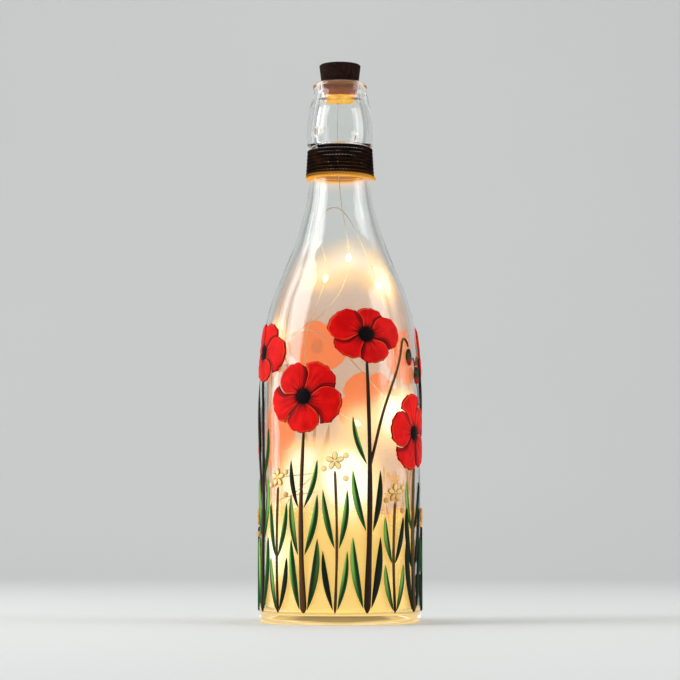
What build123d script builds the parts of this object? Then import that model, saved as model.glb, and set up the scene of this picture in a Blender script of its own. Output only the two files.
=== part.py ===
from build123d import *
from math import cos, dist, floor, pi, radians, sin, sqrt, tan
import os

# A painted glass bottle with a cork that carries a string of small lamps.
# Millimetres, +Z up. The origin is at the middle of the foot, and -Y is the front.

# Glass: the outside
bottle_height = 284.6
body_radius = 42.0
heel_radius = 3.0
punt_height = 9.0
punt_radius = 33.5
shoulder_foot = 118.0
neck_foot = 230.0
neck_foot_radius = 16.4
neck_top = 250.3
neck_top_radius = 15.2
shoulder_height_shares = (0.286, 0.5125, 0.664, 0.817)
shoulder_radius_shares = (0.922, 0.664, 0.383, 0.156)

# Glass: the head above the neck, for a wire bail
head_foot = 251.2
head_foot_radius = 17.3
head_belly = 256.5
head_belly_radius = 17.8
head_waist = 268.4
head_waist_radius = 16.6
lip_foot = 279.2
lip_foot_radius = 14.1
lip_radius = 14.4
lip_round = 1.8
bail_seat_height = 256.8
bail_seat_depth = 1.7
bail_seat_radius = 2.7
bail_seat_azimuth = -42.7

# Glass: the inside
wall = 3.2
floor_thickness = 4.5
inner_heel_radius = 5.0
dome_middle_share = 0.76
head_cavity = 257.5
head_cavity_radius = 12.9
head_cavity_top = 267.5
head_cavity_top_radius = 12.0
bore_foot = 275.6
rim_round = 0.8

# Frosting on the inner wall
coat_top = 195.0
coat_gap = 0.03
coat_thickness = 0.25

# Cork
cork_height = 18.3
cork_stand = 9.9
cork_top_radius = 10.97
cork_taper = 0.117
cork_fit = 0.08
cork_edge = 0.5

# Battery housing in the cork
cell_radius = 5.8
cell_height = 3.05
cell_count = 3
cell_cap_radius = 4.9
cell_cap_height = 0.3
cell_gap = 0.02
cup_inner_radius = 6.1
cup_outer_radius = 7.1
cup_floor = 0.8
cup_seat = 0.05
board_radius = 6.0
board_thickness = 0.8
spring_height = 1.0
spring_width = 3.0
spring_sheet = 0.2
spring_length = 8.4
resistor_length = 3.2
resistor_width = 1.6
resistor_height = 0.6
resistor_place = -3.9
strip_width = 3.0
strip_thickness = 0.25
strip_groove = 0.45
plate_thickness = 0.2
plate_radius = 5.9
plate_tab_reach = 6.6
contact_gap = 0.03

# Lid and switch
lid_radius = 8.25
lid_thickness = 1.6
lid_fit = 0.1
lid_notch_radius = 1.6
switch_length = 6.0
switch_width = 3.0
switch_height = 1.4
switch_wall = 0.4
knob_length = 2.0
knob_width = 1.6
knob_height = 1.5
knob_fit = 0.1
knob_foot = 0.6
knob_foot_overhang = 0.3
switch_travel = 2.0

# String of lamps
wire_radius = 0.35
wire_hole = 0.6
solder_height = 0.3
lead_x = -1.3
lead_y = 4.9
arc_share = 0.45
least_string_radius = 3.5
lamp_count = 15
lamp_first = 85.0
lamp_spacing = 92.5
drop_length = 4.6
drop_radius = 1.45
drop_bore_gap = 0.22
chip_length = 1.0
chip_width = 0.6
chip_gap = 0.06
string_points = (
    (-1.3, 4.9, 276.2),
    (-1.6, 5.2, 256.0),
    (-0.9, 5.6, 234.5),
    (1.6, 7.2, 214.5),
    (5.4, 11.0, 197.0),
    (3.5, 17.5, 180.0),
    (-6.0, 22.5, 166.0),
    (-19.0, 22.0, 156.0),
    (-29.5, 13.5, 147.5),
    (-34.0, 0.5, 141.0),
    (-33.0, -11.0, 143.5),
    (-26.0, -21.5, 150.0),
    (-14.5, -29.5, 151.0),
    (-3.0, -33.0, 143.5),
    (8.0, -34.0, 132.0),
    (19.0, -30.0, 119.5),
    (28.5, -21.5, 109.0),
    (34.8, -7.0, 101.0),
    (34.8, 8.5, 95.5),
    (28.0, 22.0, 92.0),
    (15.0, 31.5, 90.0),
    (0.0, 34.8, 87.5),
    (-14.0, 32.0, 84.5),
    (-27.0, 23.0, 80.5),
    (-34.5, 9.0, 77.0),
    (-34.5, -6.5, 75.5),
    (-27.5, -21.5, 75.5),
    (-15.0, -31.0, 76.5),
    (0.0, -34.5, 78.5),
    (13.5, -31.5, 83.0),
    (25.0, -23.0, 88.0),
    (31.0, -9.5, 91.0),
    (30.5, 5.5, 92.5),
    (24.5, 19.0, 96.5),
    (13.5, 28.0, 103.0),
    (0.5, 31.0, 110.5),
    (-11.0, 28.5, 120.0),
    (-18.5, 24.0, 132.0),
    (-20.0, 20.5, 147.0),
    (-16.0, 18.5, 161.5),
    (-10.0, 17.0, 174.0),
    (-6.5, 14.5, 186.0),
    (-9.5, 11.5, 197.0),
    (-12.5, 9.8, 208.0),
    (-9.0, 9.0, 217.5),
    (-1.0, 9.0, 220.0),
    (6.0, 8.6, 212.0),
    (11.5, 8.6, 200.0),
    (17.5, 9.5, 187.0),
    (22.0, 11.5, 174.0),
    (26.0, 15.5, 160.0),
    (28.5, 17.5, 146.0),
    (31.5, 7.5, 133.0),
    (31.0, -7.0, 121.5),
    (24.5, -19.5, 110.0),
    (14.5, -28.0, 99.0),
    (2.5, -31.5, 88.5),
    (-10.0, -29.5, 78.5),
    (-21.0, -22.5, 69.0),
    (-28.5, -11.5, 60.5),
    (-30.5, 2.5, 53.5),
    (-27.0, 16.0, 46.0),
    (-18.5, 26.0, 38.5),
    (-6.0, 31.5, 33.0),
    (8.0, 31.5, 29.0),
    (21.0, 25.5, 26.0),
    (30.0, 14.0, 24.0),
    (33.0, 0.0, 22.5),
    (29.5, -14.0, 22.0),
    (20.0, -25.5, 23.0),
    (6.5, -32.5, 25.5),
    (-8.0, -32.5, 29.0),
    (-21.0, -27.0, 33.5),
    (-30.5, -16.5, 38.0),
    (-35.0, -3.0, 43.5),
    (-34.5, 11.0, 50.0),
    (-28.0, 23.0, 56.0),
    (-17.5, 31.0, 60.5),
    (-4.0, 35.0, 64.0),
    (10.5, 34.0, 66.5),
    (24.0, 26.5, 67.5),
    (33.0, 14.0, 67.5),
    (35.5, -1.0, 66.5),
    (31.5, -16.5, 66.0),
    (21.0, -28.5, 66.5),
    (6.5, -34.8, 67.5),
    (-9.0, -34.5, 67.5),
    (-23.0, -27.5, 66.0),
    (-32.5, -15.0, 63.0),
    (-36.0, 0.0, 61.5),
    (-33.0, 14.5, 64.0),
    (-24.5, 26.5, 69.0),
    (-12.0, 33.5, 74.0),
)

# Twine round the neck
twine_radius = 0.7
twine_seat = 0.95
twine_pitch = 1.95
twine_turns = 8.25
twine_top = 249.2
twine_start_azimuth = -40.0
twine_tail = 8.0
twine_gap_limit = 0.4
gap_samples = 16

# Raised paint
bond = 0.05
petal_relief = 1.2
heart_relief = 1.8
stem_relief = 1.0
leaf_relief = 0.9
blossom_relief = 1.1
bud_relief = 1.5
dot_relief = 1.4
paint_foot = 5.0
paint_seam = 0.4
painting_radius = 42.0

# Poppies round the body, in four heights that repeat
flower_count = 8
flower_first_azimuth = -26.0
flower_radius = 20.0
flower_petals = 5
flower_heights = (117.0, 150.0, 97.0, 142.0)
flower_flat_shares = (1.0, 0.76, 1.0, 0.84)
flower_turns = (14.0, 40.0, 62.0, 25.0)
heart_radius = 4.0
heart_rise_shares = (-0.06, -0.12, 0.05, -0.1)
petal_step_shares = (0.0, 0.2, 0.5, 0.8, 1.0)
petal_reach_shares = (0.8, 0.97, 1.0, 0.96, 0.83)
petal_swell_shares = (1.0, 0.93, 1.04, 0.95, 1.02)

# Their stems, leaves and buds
stem_foot = 6.0
stem_foot_width = 3.6
stem_top_width = 1.5
stem_bend = 1.6
leaf_width = 4.4
leaf_rise = 36.0
leaf_reach = 7.4
leaf_arch = 1.4
leaf_foot_shares = (0.02, 0.33, 0.60)
leaf_size_shares = (1.0, 0.86, 0.68)
bud_width = 5.2
bud_height = 9.0
bud_stem_width = 1.2
bud_azimuth = 20.0
bud_drop = 9.0
bud_stem_across = (-11.0, -5.5, 1.5, 7.3, 11.0, 14.0)
bud_stem_heights = (88.0, 108.0, 125.0, 140.0, 146.5, 142.0)

# Sprigs between them, with a blossom and dots
sprig_heights = (78.0, 62.0, 50.0, 70.0)
sprig_width = 1.4
sprig_bend = 1.0
sprig_leaf_reach = 6.2
sprig_leaf_width = 3.4
sprig_leaf_arch = 1.1
sprig_leaf_foot_shares = (0.02, 0.45)
sprig_leaf_rise_share = 0.42
blossom_radius = 4.4
blossom_wave = 1.5
dot_radius = 1.5
dot_across = (-5.6, 5.5, 5.6)
dot_rises = (1.0, -4.0, 7.5)

overrun = 1.0
layer_arc = 160.0

cork_top = bottle_height + cork_stand
cork_foot = cork_top - cork_height
inner_radius = body_radius - wall
inner_side_foot = floor_thickness + inner_heel_radius


def cork_radius_at(height):
    """The cork's radius at a height of the bottle."""
    return cork_top_radius - cork_taper * (cork_top - height)


def shoulder(offset):
    """The curve of the shoulder from the body to the neck, moved outwards by offset."""
    rise = neck_foot - shoulder_foot
    drop = body_radius - neck_foot_radius
    slope = (neck_top_radius - neck_foot_radius) / (neck_top - neck_foot)
    middle = [
        (neck_foot_radius + offset + drop * r, shoulder_foot + rise * z)
        for r, z in zip(shoulder_radius_shares, shoulder_height_shares)
    ]
    start = (body_radius + offset, shoulder_foot)
    end = (neck_foot_radius + offset, neck_foot)
    return Spline(start, *middle, end, tangents=((0, 1), (slope, 1)))


def turned(*edges):
    """A solid turned about the bottle's axis from edges drawn as radius and height."""
    return revolve(Plane.XZ * make_face(edges), Axis.Z)


def dome(height, radius, foot):
    """The arc of a pushed-up floor, from the axis out to its foot."""
    middle = (radius / 2, foot + (height - foot) * dome_middle_share)
    return ThreePointArc((0, height), middle, (radius, foot))


def bottle_glass():
    """One blown piece: pushed-up foot, straight body, long shoulder, neck and head."""
    bore = cork_radius_at(bore_foot) + cork_fit
    mouth = cork_radius_at(bottle_height) + cork_fit
    outside = [
        dome(punt_height, punt_radius, 0),
        Line((punt_radius, 0), (body_radius - heel_radius, 0)),
        CenterArc((body_radius - heel_radius, heel_radius), heel_radius, -90, 90),
        Line((body_radius, heel_radius), (body_radius, shoulder_foot)),
        shoulder(0),
        Line((neck_foot_radius, neck_foot), (neck_top_radius, neck_top)),
        Line((neck_top_radius, neck_top), (head_foot_radius, head_foot)),
        Spline(
            (head_foot_radius, head_foot),
            (head_belly_radius, head_belly),
            (head_waist_radius, head_waist),
            (lip_foot_radius, lip_foot),
        ),
        Line((lip_foot_radius, lip_foot), (lip_radius, bottle_height - lip_round)),
        CenterArc((lip_radius - lip_round, bottle_height - lip_round), lip_round, 0, 90),
        Line((lip_radius - lip_round, bottle_height), (mouth + rim_round, bottle_height)),
    ]
    inside = [
        ThreePointArc(
            (mouth + rim_round, bottle_height),
            (mouth + rim_round * (1 - cos(pi / 4)), bottle_height - rim_round * (1 - sin(pi / 4))),
            (mouth, bottle_height - rim_round),
        ),
        Line((mouth, bottle_height - rim_round), (bore, bore_foot)),
        Spline(
            (bore, bore_foot),
            (head_cavity_top_radius, head_cavity_top),
            (head_cavity_radius, head_cavity),
            (neck_top_radius - wall, neck_top),
        ),
        Line((neck_top_radius - wall, neck_top), (neck_foot_radius - wall, neck_foot)),
        shoulder(-wall),
        Line((inner_radius, shoulder_foot), (inner_radius, inner_side_foot)),
        CenterArc(
            (inner_radius - inner_heel_radius, inner_side_foot), inner_heel_radius, -90, 90
        ),
        dome(
            punt_height + floor_thickness, inner_radius - inner_heel_radius, floor_thickness
        ),
        Line((0, punt_height), (0, punt_height + floor_thickness)),
    ]
    glass = turned(*outside, *inside)
    return glass - bail_seats()


def bail_seats():
    """The two round dimples in the head that a wire bail would snap into."""
    ball = (bail_seat_radius**2 + bail_seat_depth**2) / (2 * bail_seat_depth)
    place = head_belly_radius - bail_seat_depth + ball
    seat = Pos(0, -place, bail_seat_height) * Sphere(ball)
    return [Rot(0, 0, bail_seat_azimuth + turn) * seat for turn in (0, 180)]


def frost_coat():
    """The thin frosted layer on the inner wall, open at its top."""
    outer = -wall - coat_gap
    inner = outer - coat_thickness
    shell = turned(
        Line((body_radius + inner, inner_side_foot), (body_radius + outer, inner_side_foot)),
        Line((body_radius + outer, inner_side_foot), (body_radius + outer, shoulder_foot)),
        shoulder(outer),
        Line((neck_foot_radius + outer, neck_foot), (neck_foot_radius + inner, neck_foot)),
        shoulder(inner),
        Line((body_radius + inner, shoulder_foot), (body_radius + inner, inner_side_foot)),
    )
    return split(shell, Plane.XY.offset(coat_top), keep=Keep.BOTTOM)


def cork_stopper():
    """The tapered cork, hollowed from the top for the lamp's battery housing."""
    body = turned(
        Line((0, cork_foot), (cork_radius_at(cork_foot), cork_foot)),
        Line((cork_radius_at(cork_foot), cork_foot), (cork_top_radius, cork_top - cork_edge)),
        Line((cork_top_radius, cork_top - cork_edge), (cork_top_radius - cork_edge, cork_top)),
        Line((cork_top_radius - cork_edge, cork_top), (0, cork_top)),
        Line((0, cork_top), (0, cork_foot)),
    )
    pocket = rod(cup_outer_radius + cup_seat, cup_base - cup_seat, cork_top + overrun)
    counterbore = rod(lid_radius + lid_fit, lid_foot, cork_top + overrun)
    return body - pocket - counterbore - lead_hole(wire_hole)


def rod(radius, foot, top, x=0, y=0):
    """An upright cylinder between two heights."""
    return Pos(x, y, foot) * Cylinder(
        radius, top - foot, align=(Align.CENTER, Align.CENTER, Align.MIN)
    )


def block(x_size, y_size, foot, top, x=0, y=0):
    """An upright box between two heights."""
    return Pos(x, y, foot) * Box(
        x_size, y_size, top - foot, align=(Align.CENTER, Align.CENTER, Align.MIN)
    )


def lead_hole(radius):
    """The hole that the wire leaves the housing by."""
    return rod(radius, cork_foot - overrun, cork_top, lead_x, lead_y)


# Heights of the stack in the cork, from the lid down
lid_foot = cork_top - lid_thickness
switch_foot = lid_foot - switch_height
plate_foot = switch_foot - plate_thickness
cells_top = plate_foot - contact_gap
cells_foot = cells_top - cell_count * (cell_height + cell_gap)
spring_foot = cells_foot - contact_gap - spring_height
board_top = spring_foot - contact_gap
board_bottom = board_top - board_thickness
cup_top = cells_top - contact_gap
cup_base = board_bottom - contact_gap - cup_floor


def battery_cup():
    """A thin cup that holds the cells, with a groove for the side strip."""
    cup = rod(cup_outer_radius, cup_base, cup_top)
    cup -= rod(cup_inner_radius, cup_base + cup_floor, cup_top + overrun)
    reach = cup_inner_radius + strip_groove
    groove = block(reach, strip_width + 2 * contact_gap, cup_base + cup_floor, cup_top + overrun)
    return cup - Pos(reach / 2, 0, 0) * groove - lead_hole(wire_hole)


def circuit_board():
    """The round board at the bottom of the cup, drilled for the wire."""
    return rod(board_radius, board_bottom, board_top) - lead_hole(wire_radius + chip_gap)


def resistor():
    """The chip resistor on the board."""
    foot = board_top + contact_gap
    return block(resistor_length, resistor_width, foot, foot + resistor_height, 0, resistor_place)


def contact_spring():
    """An arched leaf that presses the lowest cell up."""
    half = spring_length / 2
    rise = spring_height - spring_sheet
    outer = ThreePointArc((-half, 0), (0, spring_height), (half, 0))
    inner = ThreePointArc((-half + spring_sheet, 0), (0, rise), (half - spring_sheet, 0))
    ends = [
        Line((-half, 0), (-half + spring_sheet, 0)),
        Line((half - spring_sheet, 0), (half, 0)),
    ]
    face = make_face([outer, inner, *ends])
    leaf = extrude(Plane.XZ * face, amount=spring_width / 2, both=True)
    return Pos(0, 0, spring_foot) * leaf


def side_strip():
    """The brass strip that carries the top contact's current down to the board."""
    outer = cup_inner_radius + strip_groove - contact_gap
    middle = outer - strip_thickness / 2
    foot = cup_base + cup_floor + contact_gap
    return block(strip_thickness, strip_width, foot, cup_top, middle, 0)


def button_cell(number):
    """One button cell: its can, and the smaller cap below it."""
    foot = cells_foot + number * (cell_height + cell_gap)
    cap = rod(cell_cap_radius, foot, foot + cell_cap_height)
    return cap + rod(cell_radius, foot + cell_cap_height, foot + cell_height)


def contact_plate():
    """The plate under the switch, with a tab that reaches over the side strip."""
    plate = rod(plate_radius, plate_foot, switch_foot)
    tab = block(plate_tab_reach, strip_width, plate_foot, switch_foot, plate_tab_reach / 2, 0)
    return plate + tab


def battery_lid():
    """The round lid, slotted for the switch knob and notched for a fingernail."""
    lid = rod(lid_radius, lid_foot, cork_top)
    slot_length = knob_length + switch_travel + 2 * knob_fit
    slot = block(slot_length, knob_width + 2 * knob_fit, lid_foot - overrun, cork_top + overrun)
    notch = rod(lid_notch_radius, lid_foot + lid_thickness / 2, cork_top + overrun, 0, lid_radius)
    return lid - slot - notch


def switch_body():
    """The open-topped box that the knob's foot slides in."""
    body = block(switch_length, switch_width, switch_foot, lid_foot)
    hollow_length = switch_length - 2 * switch_wall
    hollow = block(
        hollow_length, switch_width - 2 * switch_wall, switch_foot + switch_wall, lid_foot + overrun
    )
    return body - hollow


def switch_knob():
    """The knob, at the off end of its slot, on the wider foot that holds it in."""
    place = -switch_travel / 2
    foot = switch_foot + switch_wall + knob_fit
    knob = block(knob_length, knob_width, foot, cork_top + knob_height - knob_foot, place)
    width = min(knob_width + 2 * knob_foot_overhang, switch_width - 2 * switch_wall - 2 * knob_fit)
    return knob + block(knob_length, width, foot, foot + knob_foot, place)


def lead_in_wire():
    """The wire from the board down through the cup and the cork."""
    return rod(wire_radius, cork_foot, board_top + solder_height, lead_x, lead_y)


def string_route():
    """The free wire's route: straight runs joined by arcs as large as they allow."""
    points = [Vector(*p) for p in string_points]
    edges, radii = [], []
    reached = points[0]
    for before, here, after in zip(points, points[1:], points[2:]):
        first, second = here - before, after - here
        turn = radians(first.get_angle(second))
        reach = arc_share * min(first.length, second.length)
        radii.append(reach / tan(turn / 2))
        start = here - first.normalized() * reach
        end = here + second.normalized() * reach
        edges.append(Edge.make_line(reached, start))
        edges.append(Edge.make_tangent_arc(start, first, end))
        reached = end
    edges.append(Edge.make_line(reached, points[-1]))
    print("string arcs, least radius", round(min(radii), 1), "limit", least_string_radius)
    return Wire(edges)


def light_string(route):
    """The free wire as a tube along its route."""
    section = Plane(origin=route @ 0, z_dir=route % 0) * Circle(wire_radius)
    tube = sweep(section, route)
    wanted = pi * wire_radius**2 * route.length
    print("string length", round(route.length, 1), "volume share", round(tube.volume / wanted, 4))
    return tube


def lamp_places(route):
    """Where each lamp sits on the wire, with the wire's direction there as Z."""
    places = []
    for number in range(lamp_count):
        along = lamp_first + number * lamp_spacing
        here = route.position_at(along, position_mode=PositionMode.LENGTH)
        ahead = route.tangent_at(along, position_mode=PositionMode.LENGTH)
        places.append(Plane(origin=here, z_dir=ahead).location)
    return places


def lamp_drop():
    """A clear resin drop round the wire, hollow for the wire and the lamp's chip."""
    half = drop_length / 2
    side = ThreePointArc((0, -half), (drop_radius, 0), (0, half))
    drop = turned(side, Line((0, half), (0, -half)))
    bore = wire_radius + drop_bore_gap
    pocket_width = chip_width + 2 * chip_gap
    place = wire_radius + chip_gap + chip_width / 2
    pocket = Pos(place, 0, 0) * Box(pocket_width, pocket_width, chip_length + 2 * chip_gap)
    return drop - Cylinder(bore, drop_length + overrun) - pocket


def lamp_chip():
    """The lamp's chip, soldered to the side of the wire."""
    place = wire_radius + chip_gap + chip_width / 2
    return Pos(place, 0, 0) * Box(chip_width, chip_width, chip_length)


def neck_twine():
    """Twine wound down the neck in one unbroken tube, ending in a short straight tail."""
    cone = (neck_top_radius - neck_foot_radius) / (neck_top - neck_foot)

    def place(turns):
        angle = radians(twine_start_azimuth) + 2 * pi * turns
        z = twine_top - twine_pitch * turns
        r = neck_foot_radius + cone * (z - neck_foot) + twine_seat
        slope = -cone * twine_pitch / (2 * pi)
        ahead = Vector(
            slope * sin(angle) + r * cos(angle),
            -slope * cos(angle) + r * sin(angle),
            -twine_pitch / (2 * pi),
        )
        return Vector(r * sin(angle), -r * cos(angle), z), ahead.normalized()

    steps = [n / 2 for n in range(floor(twine_turns * 2) + 1)]
    if steps[-1] < twine_turns:
        steps.append(twine_turns)
    nodes = [place(turns) for turns in steps]
    start, ahead = nodes[0]
    edges = [Edge.make_line(start - ahead * 2 * twine_radius, start)]
    for (p, t), (q, u) in zip(nodes, nodes[1:]):
        edges += biarc(p, t, q, u)
    end, ahead = nodes[-1]
    edges.append(Edge.make_line(end, end + ahead * twine_tail))
    report_least_gap("twine", edges, twine_radius)
    path = Wire(edges)
    section = Plane(origin=path @ 0, z_dir=path % 0) * Circle(twine_radius)
    return sweep(section, path)


def biarc(p, t, q, u):
    """Two arcs that leave p along t and arrive at q along u."""
    span = q - p
    a = 2 * (t.dot(u) - 1)
    b = -2 * span.dot(t + u)
    c = span.dot(span)
    if abs(a) < 1e-9:
        reach = -c / b
    else:
        reach = (-b - sqrt(b * b - 4 * a * c)) / (2 * a)
    near = p + t * reach
    far = q - u * reach
    joint = (near + far) / 2
    middle = (far - near).normalized()
    return [
        Edge.make_tangent_arc(p, t, joint),
        Edge.make_tangent_arc(joint, middle, q),
    ]


def report_least_gap(name, edges, radius):
    """Print the least gap between a wound tube's turns, measured on points of its line."""
    points = [tuple(edge @ (n / gap_samples)) for edge in edges for n in range(gap_samples)]
    half_turn = 2 * gap_samples
    least = min(
        dist(here, other)
        for n, here in enumerate(points)
        for other in points[n + half_turn :]
    )
    print(name, "least gap", round(least - 2 * radius, 3), "limit", twine_gap_limit)


def paint_layer(relief, top=None):
    """The space in front of the bottle that paint of one relief fills."""
    inner, outer = body_radius + bond, body_radius + bond + relief
    edges = [
        Line((inner, paint_foot), (outer, paint_foot)),
        Line((outer, paint_foot), (outer, top or shoulder_foot)),
        Line((inner, top or shoulder_foot), (inner, paint_foot)),
    ]
    if top:
        edges.append(Line((inner, top), (outer, top)))
    else:
        far, near = neck_foot_radius + bond + relief, neck_foot_radius + bond
        edges += [shoulder(bond + relief), shoulder(bond)]
        edges.append(Line((near, neck_foot), (far, neck_foot)))
    band = revolve(Plane.XZ * make_face(edges), Axis.Z, revolution_arc=layer_arc)
    return Rot(0, 0, -90 - layer_arc / 2) * band


def painted(faces, relief):
    """Flat outlines, as wide as the body asks, as raised paint on the bottle's side."""
    top = max(face.bounding_box().max.Y for face in faces)
    layer = paint_layer(relief, shoulder_foot if top < shoulder_foot else None)
    start = Plane.XZ.offset(body_radius / 2)
    across = body_radius / painting_radius
    fitted = [scale(face, by=(across, 1, 1)) for face in faces]
    prisms = [solid for face in fitted for solid in extrude(start * face, amount=body_radius).solids()]
    return (Compound(prisms) & layer).solids()


def round_bottle(by_kind, azimuth_of):
    """Copies of each kind's painted pieces, turned to their places round the bottle."""
    pieces = []
    for index in range(flower_count):
        turn = Rot(0, 0, azimuth_of(index))
        pieces.append([turn * solid for solid in by_kind[flower_kind(index)]])
    return pieces


def flower_azimuth(index):
    """Where a flower stands round the bottle."""
    return flower_first_azimuth + index * 360 / flower_count


def flower_kind(index):
    """Which of the heights and shapes a flower has."""
    return index % len(flower_heights)


def heart_height(kind):
    """The height of a flower's heart, the point that its petals spread from."""
    return flower_heights[kind] + heart_rise_shares[kind] * flower_radius


def flower_reach(kind, angle):
    """How far a flower reaches from its heart in one direction."""
    flat = flower_flat_shares[kind]
    return flower_radius * flat / sqrt((flat * cos(angle)) ** 2 + sin(angle) ** 2)


def petal_face(kind, number):
    """One petal: a slice of the flower between two seams, fuller in its middle."""
    span = 2 * pi / flower_petals
    start = radians(flower_turns[kind]) + number * span
    swell = petal_swell_shares[(number + kind) % flower_petals]

    def spot(step, out):
        angle = start + span * step
        side = paint_seam / 2 * (1 - 2 * step)
        across = out * cos(angle) - side * sin(angle)
        return (across, heart_height(kind) + out * sin(angle) + side * cos(angle))

    rim = [
        spot(step, flower_reach(kind, start + span * step) * reach * swell)
        for step, reach in zip(petal_step_shares, petal_reach_shares)
    ]
    near = [spot(step, heart_radius + paint_seam) for step in (0, 0.5, 1)]
    sides = [Line(rim[0], near[0]), Line(rim[-1], near[-1])]
    return make_face([Spline(*rim), ThreePointArc(*near), *sides])


def petals(kind):
    """The petals of one poppy."""
    return painted([petal_face(kind, number) for number in range(flower_petals)], petal_relief)


def heart(kind):
    """The dark heart of one poppy."""
    return painted([Pos(0, heart_height(kind)) * Circle(heart_radius)], heart_relief)


def strip_face(foot, top, foot_width, top_width, bend):
    """An upright strip that tapers, and leans to one side in its middle."""
    left, right = [], []
    for rise in (0, 0.25, 0.5, 0.75, 1):
        z = foot + (top - foot) * rise
        middle = bend * sin(pi * rise)
        half = (foot_width + (top_width - foot_width) * rise) / 2
        left.append((middle - half, z))
        right.append((middle + half, z))
    ends = [Line(left[0], right[0]), Line(left[-1], right[-1])]
    return make_face([Spline(*left), Spline(*right), *ends])


def leaf_face(start, tip, side, arch, width):
    """A pointed blade that leaves its stem on one side and arches outwards."""
    along = Vector(*tip) - Vector(*start)
    across = Vector(along.Y, -along.X).normalized() * side
    middle = (Vector(*start) + Vector(*tip)) / 2
    outer = middle + across * (arch + width / 2)
    inner = middle + across * (arch - width / 2)
    return make_face(
        [
            ThreePointArc(start, (outer.X, outer.Y), tip),
            ThreePointArc(start, (inner.X, inner.Y), tip),
        ]
    )


def stem_top(kind):
    """The height where a flower's stem ends, under its lowest petal."""
    drop = flower_radius * flower_flat_shares[kind] * max(petal_swell_shares)
    return heart_height(kind) - drop - paint_seam


def stem_side(kind):
    """The side that a stem leans to: right for the high flowers, left for the low ones."""
    return 1 if kind % 2 else -1


def poppy_stem(kind):
    """The stem of one poppy."""
    bend = stem_bend * stem_side(kind)
    face = strip_face(stem_foot, stem_top(kind), stem_foot_width, stem_top_width, bend)
    return painted([face], stem_relief)


def poppy_leaves(kind):
    """The pairs of leaves along one poppy's stem, leaving room for its bud's stem."""
    length = stem_top(kind) - stem_foot
    blades = []
    for share, size in zip(leaf_foot_shares, leaf_size_shares):
        foot = stem_foot + length * share
        tip = foot + min(leaf_rise * size, length * (1 - share) - paint_seam)
        half = (stem_foot_width + (stem_top_width - stem_foot_width) * share) / 2
        middle = stem_bend * stem_side(kind) * sin(pi * share)
        for side in (-1, 1):
            if share == leaf_foot_shares[-1] and side == bud_side(kind):
                continue
            start = (middle + side * (half + paint_seam), foot)
            width = leaf_width * size
            blades.append(leaf_face(start, (side * leaf_reach, tip), side, leaf_arch, width))
    return painted(blades, leaf_relief)


def bud_side(kind):
    """The side of a high flower that its bud hangs on, or none for a low flower."""
    return (0, 1, 0, -1)[kind]


def bud_line(kind):
    """The line of a bud's hooked stem."""
    drop = bud_drop if bud_side(kind) < 0 else 0
    spots = zip(bud_stem_across, bud_stem_heights)
    return [(bud_side(kind) * across, height - drop) for across, height in spots]


def bud_stem(kind):
    """The thin hooked stem that a bud hangs from."""
    if not bud_side(kind):
        return []
    return painted([trace(Spline(*bud_line(kind)), line_width=bud_stem_width)], stem_relief)


def poppy_bud(kind):
    """A closed bud that hangs from the end of its stem."""
    if not bud_side(kind):
        return []
    across, height = bud_line(kind)[-1]
    place = Pos(across, height - bud_height / 2 - paint_seam)
    return painted([place * Ellipse(bud_width / 2, bud_height / 2)], bud_relief)


def bud_place(index):
    """Where a bud's stem and bud stand round the bottle."""
    return flower_azimuth(index) + bud_side(flower_kind(index)) * bud_azimuth


def sprig_azimuth(index):
    """Where a sprig stands, midway between two flowers."""
    return flower_azimuth(index + 0.5)


def sprig_stem(kind):
    """The thin stem of one sprig."""
    bend = -sprig_bend * stem_side(kind)
    top = sprig_heights[kind]
    return painted([strip_face(stem_foot, top, sprig_width, sprig_width, bend)], stem_relief)


def sprig_leaves(kind):
    """The narrow leaves of one sprig."""
    length = sprig_heights[kind] - stem_foot
    blades = []
    for share in sprig_leaf_foot_shares:
        foot = stem_foot + length * share
        middle = -sprig_bend * stem_side(kind) * sin(pi * share)
        for side in (-1, 1):
            start = (middle + side * (sprig_width / 2 + paint_seam), foot)
            tip = (side * sprig_leaf_reach, foot + length * sprig_leaf_rise_share)
            blades.append(leaf_face(start, tip, side, sprig_leaf_arch, sprig_leaf_width))
    return painted(blades, leaf_relief)


def blossom(kind):
    """A small flower of five round petals on top of one sprig."""
    height = sprig_heights[kind] + paint_seam + blossom_radius
    points = []
    for number in range(4 * flower_petals):
        angle = 2 * pi * number / (4 * flower_petals)
        out = blossom_radius - blossom_wave / 2 * (1 - cos(flower_petals * angle))
        points.append((out * sin(angle), height + out * cos(angle)))
    return painted([make_face([Spline(*points, periodic=True)])], blossom_relief)


def paint_dots(kind):
    """The raised dots round the top of one sprig."""
    spots = zip(dot_across, dot_rises)
    top = sprig_heights[kind]
    return painted([Pos(x, top + rise) * Circle(dot_radius) for x, rise in spots], dot_relief)


def save(name, *pieces):
    """Write one sub-part, of one or more separate solids, to its file."""
    solids = [solid for piece in pieces for solid in piece.solids()]
    export_step(solids[0] if len(solids) == 1 else Compound(solids), f"parts/{name}.step")


save("bottle_glass", bottle_glass())
save("frost_coat", frost_coat())
save("neck_twine", neck_twine())

save("cork_stopper", cork_stopper())
save("battery_cup", battery_cup())
save("circuit_board", circuit_board())
save("resistor", resistor())
save("contact_spring", contact_spring())
save("side_strip", side_strip())
for number in range(cell_count):
    save(f"button_cell_{number + 1}", button_cell(number))
save("contact_plate", contact_plate())
save("battery_lid", battery_lid())
save("switch_body", switch_body())
save("switch_knob", switch_knob())
save("lead_in_wire", lead_in_wire())

route = string_route()
places = lamp_places(route)
save("light_string", light_string(route))
drop, chip = lamp_drop(), lamp_chip()
save("lamp_drops", *[place * drop for place in places])
save("lamp_chips", *[place * chip for place in places])

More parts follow.
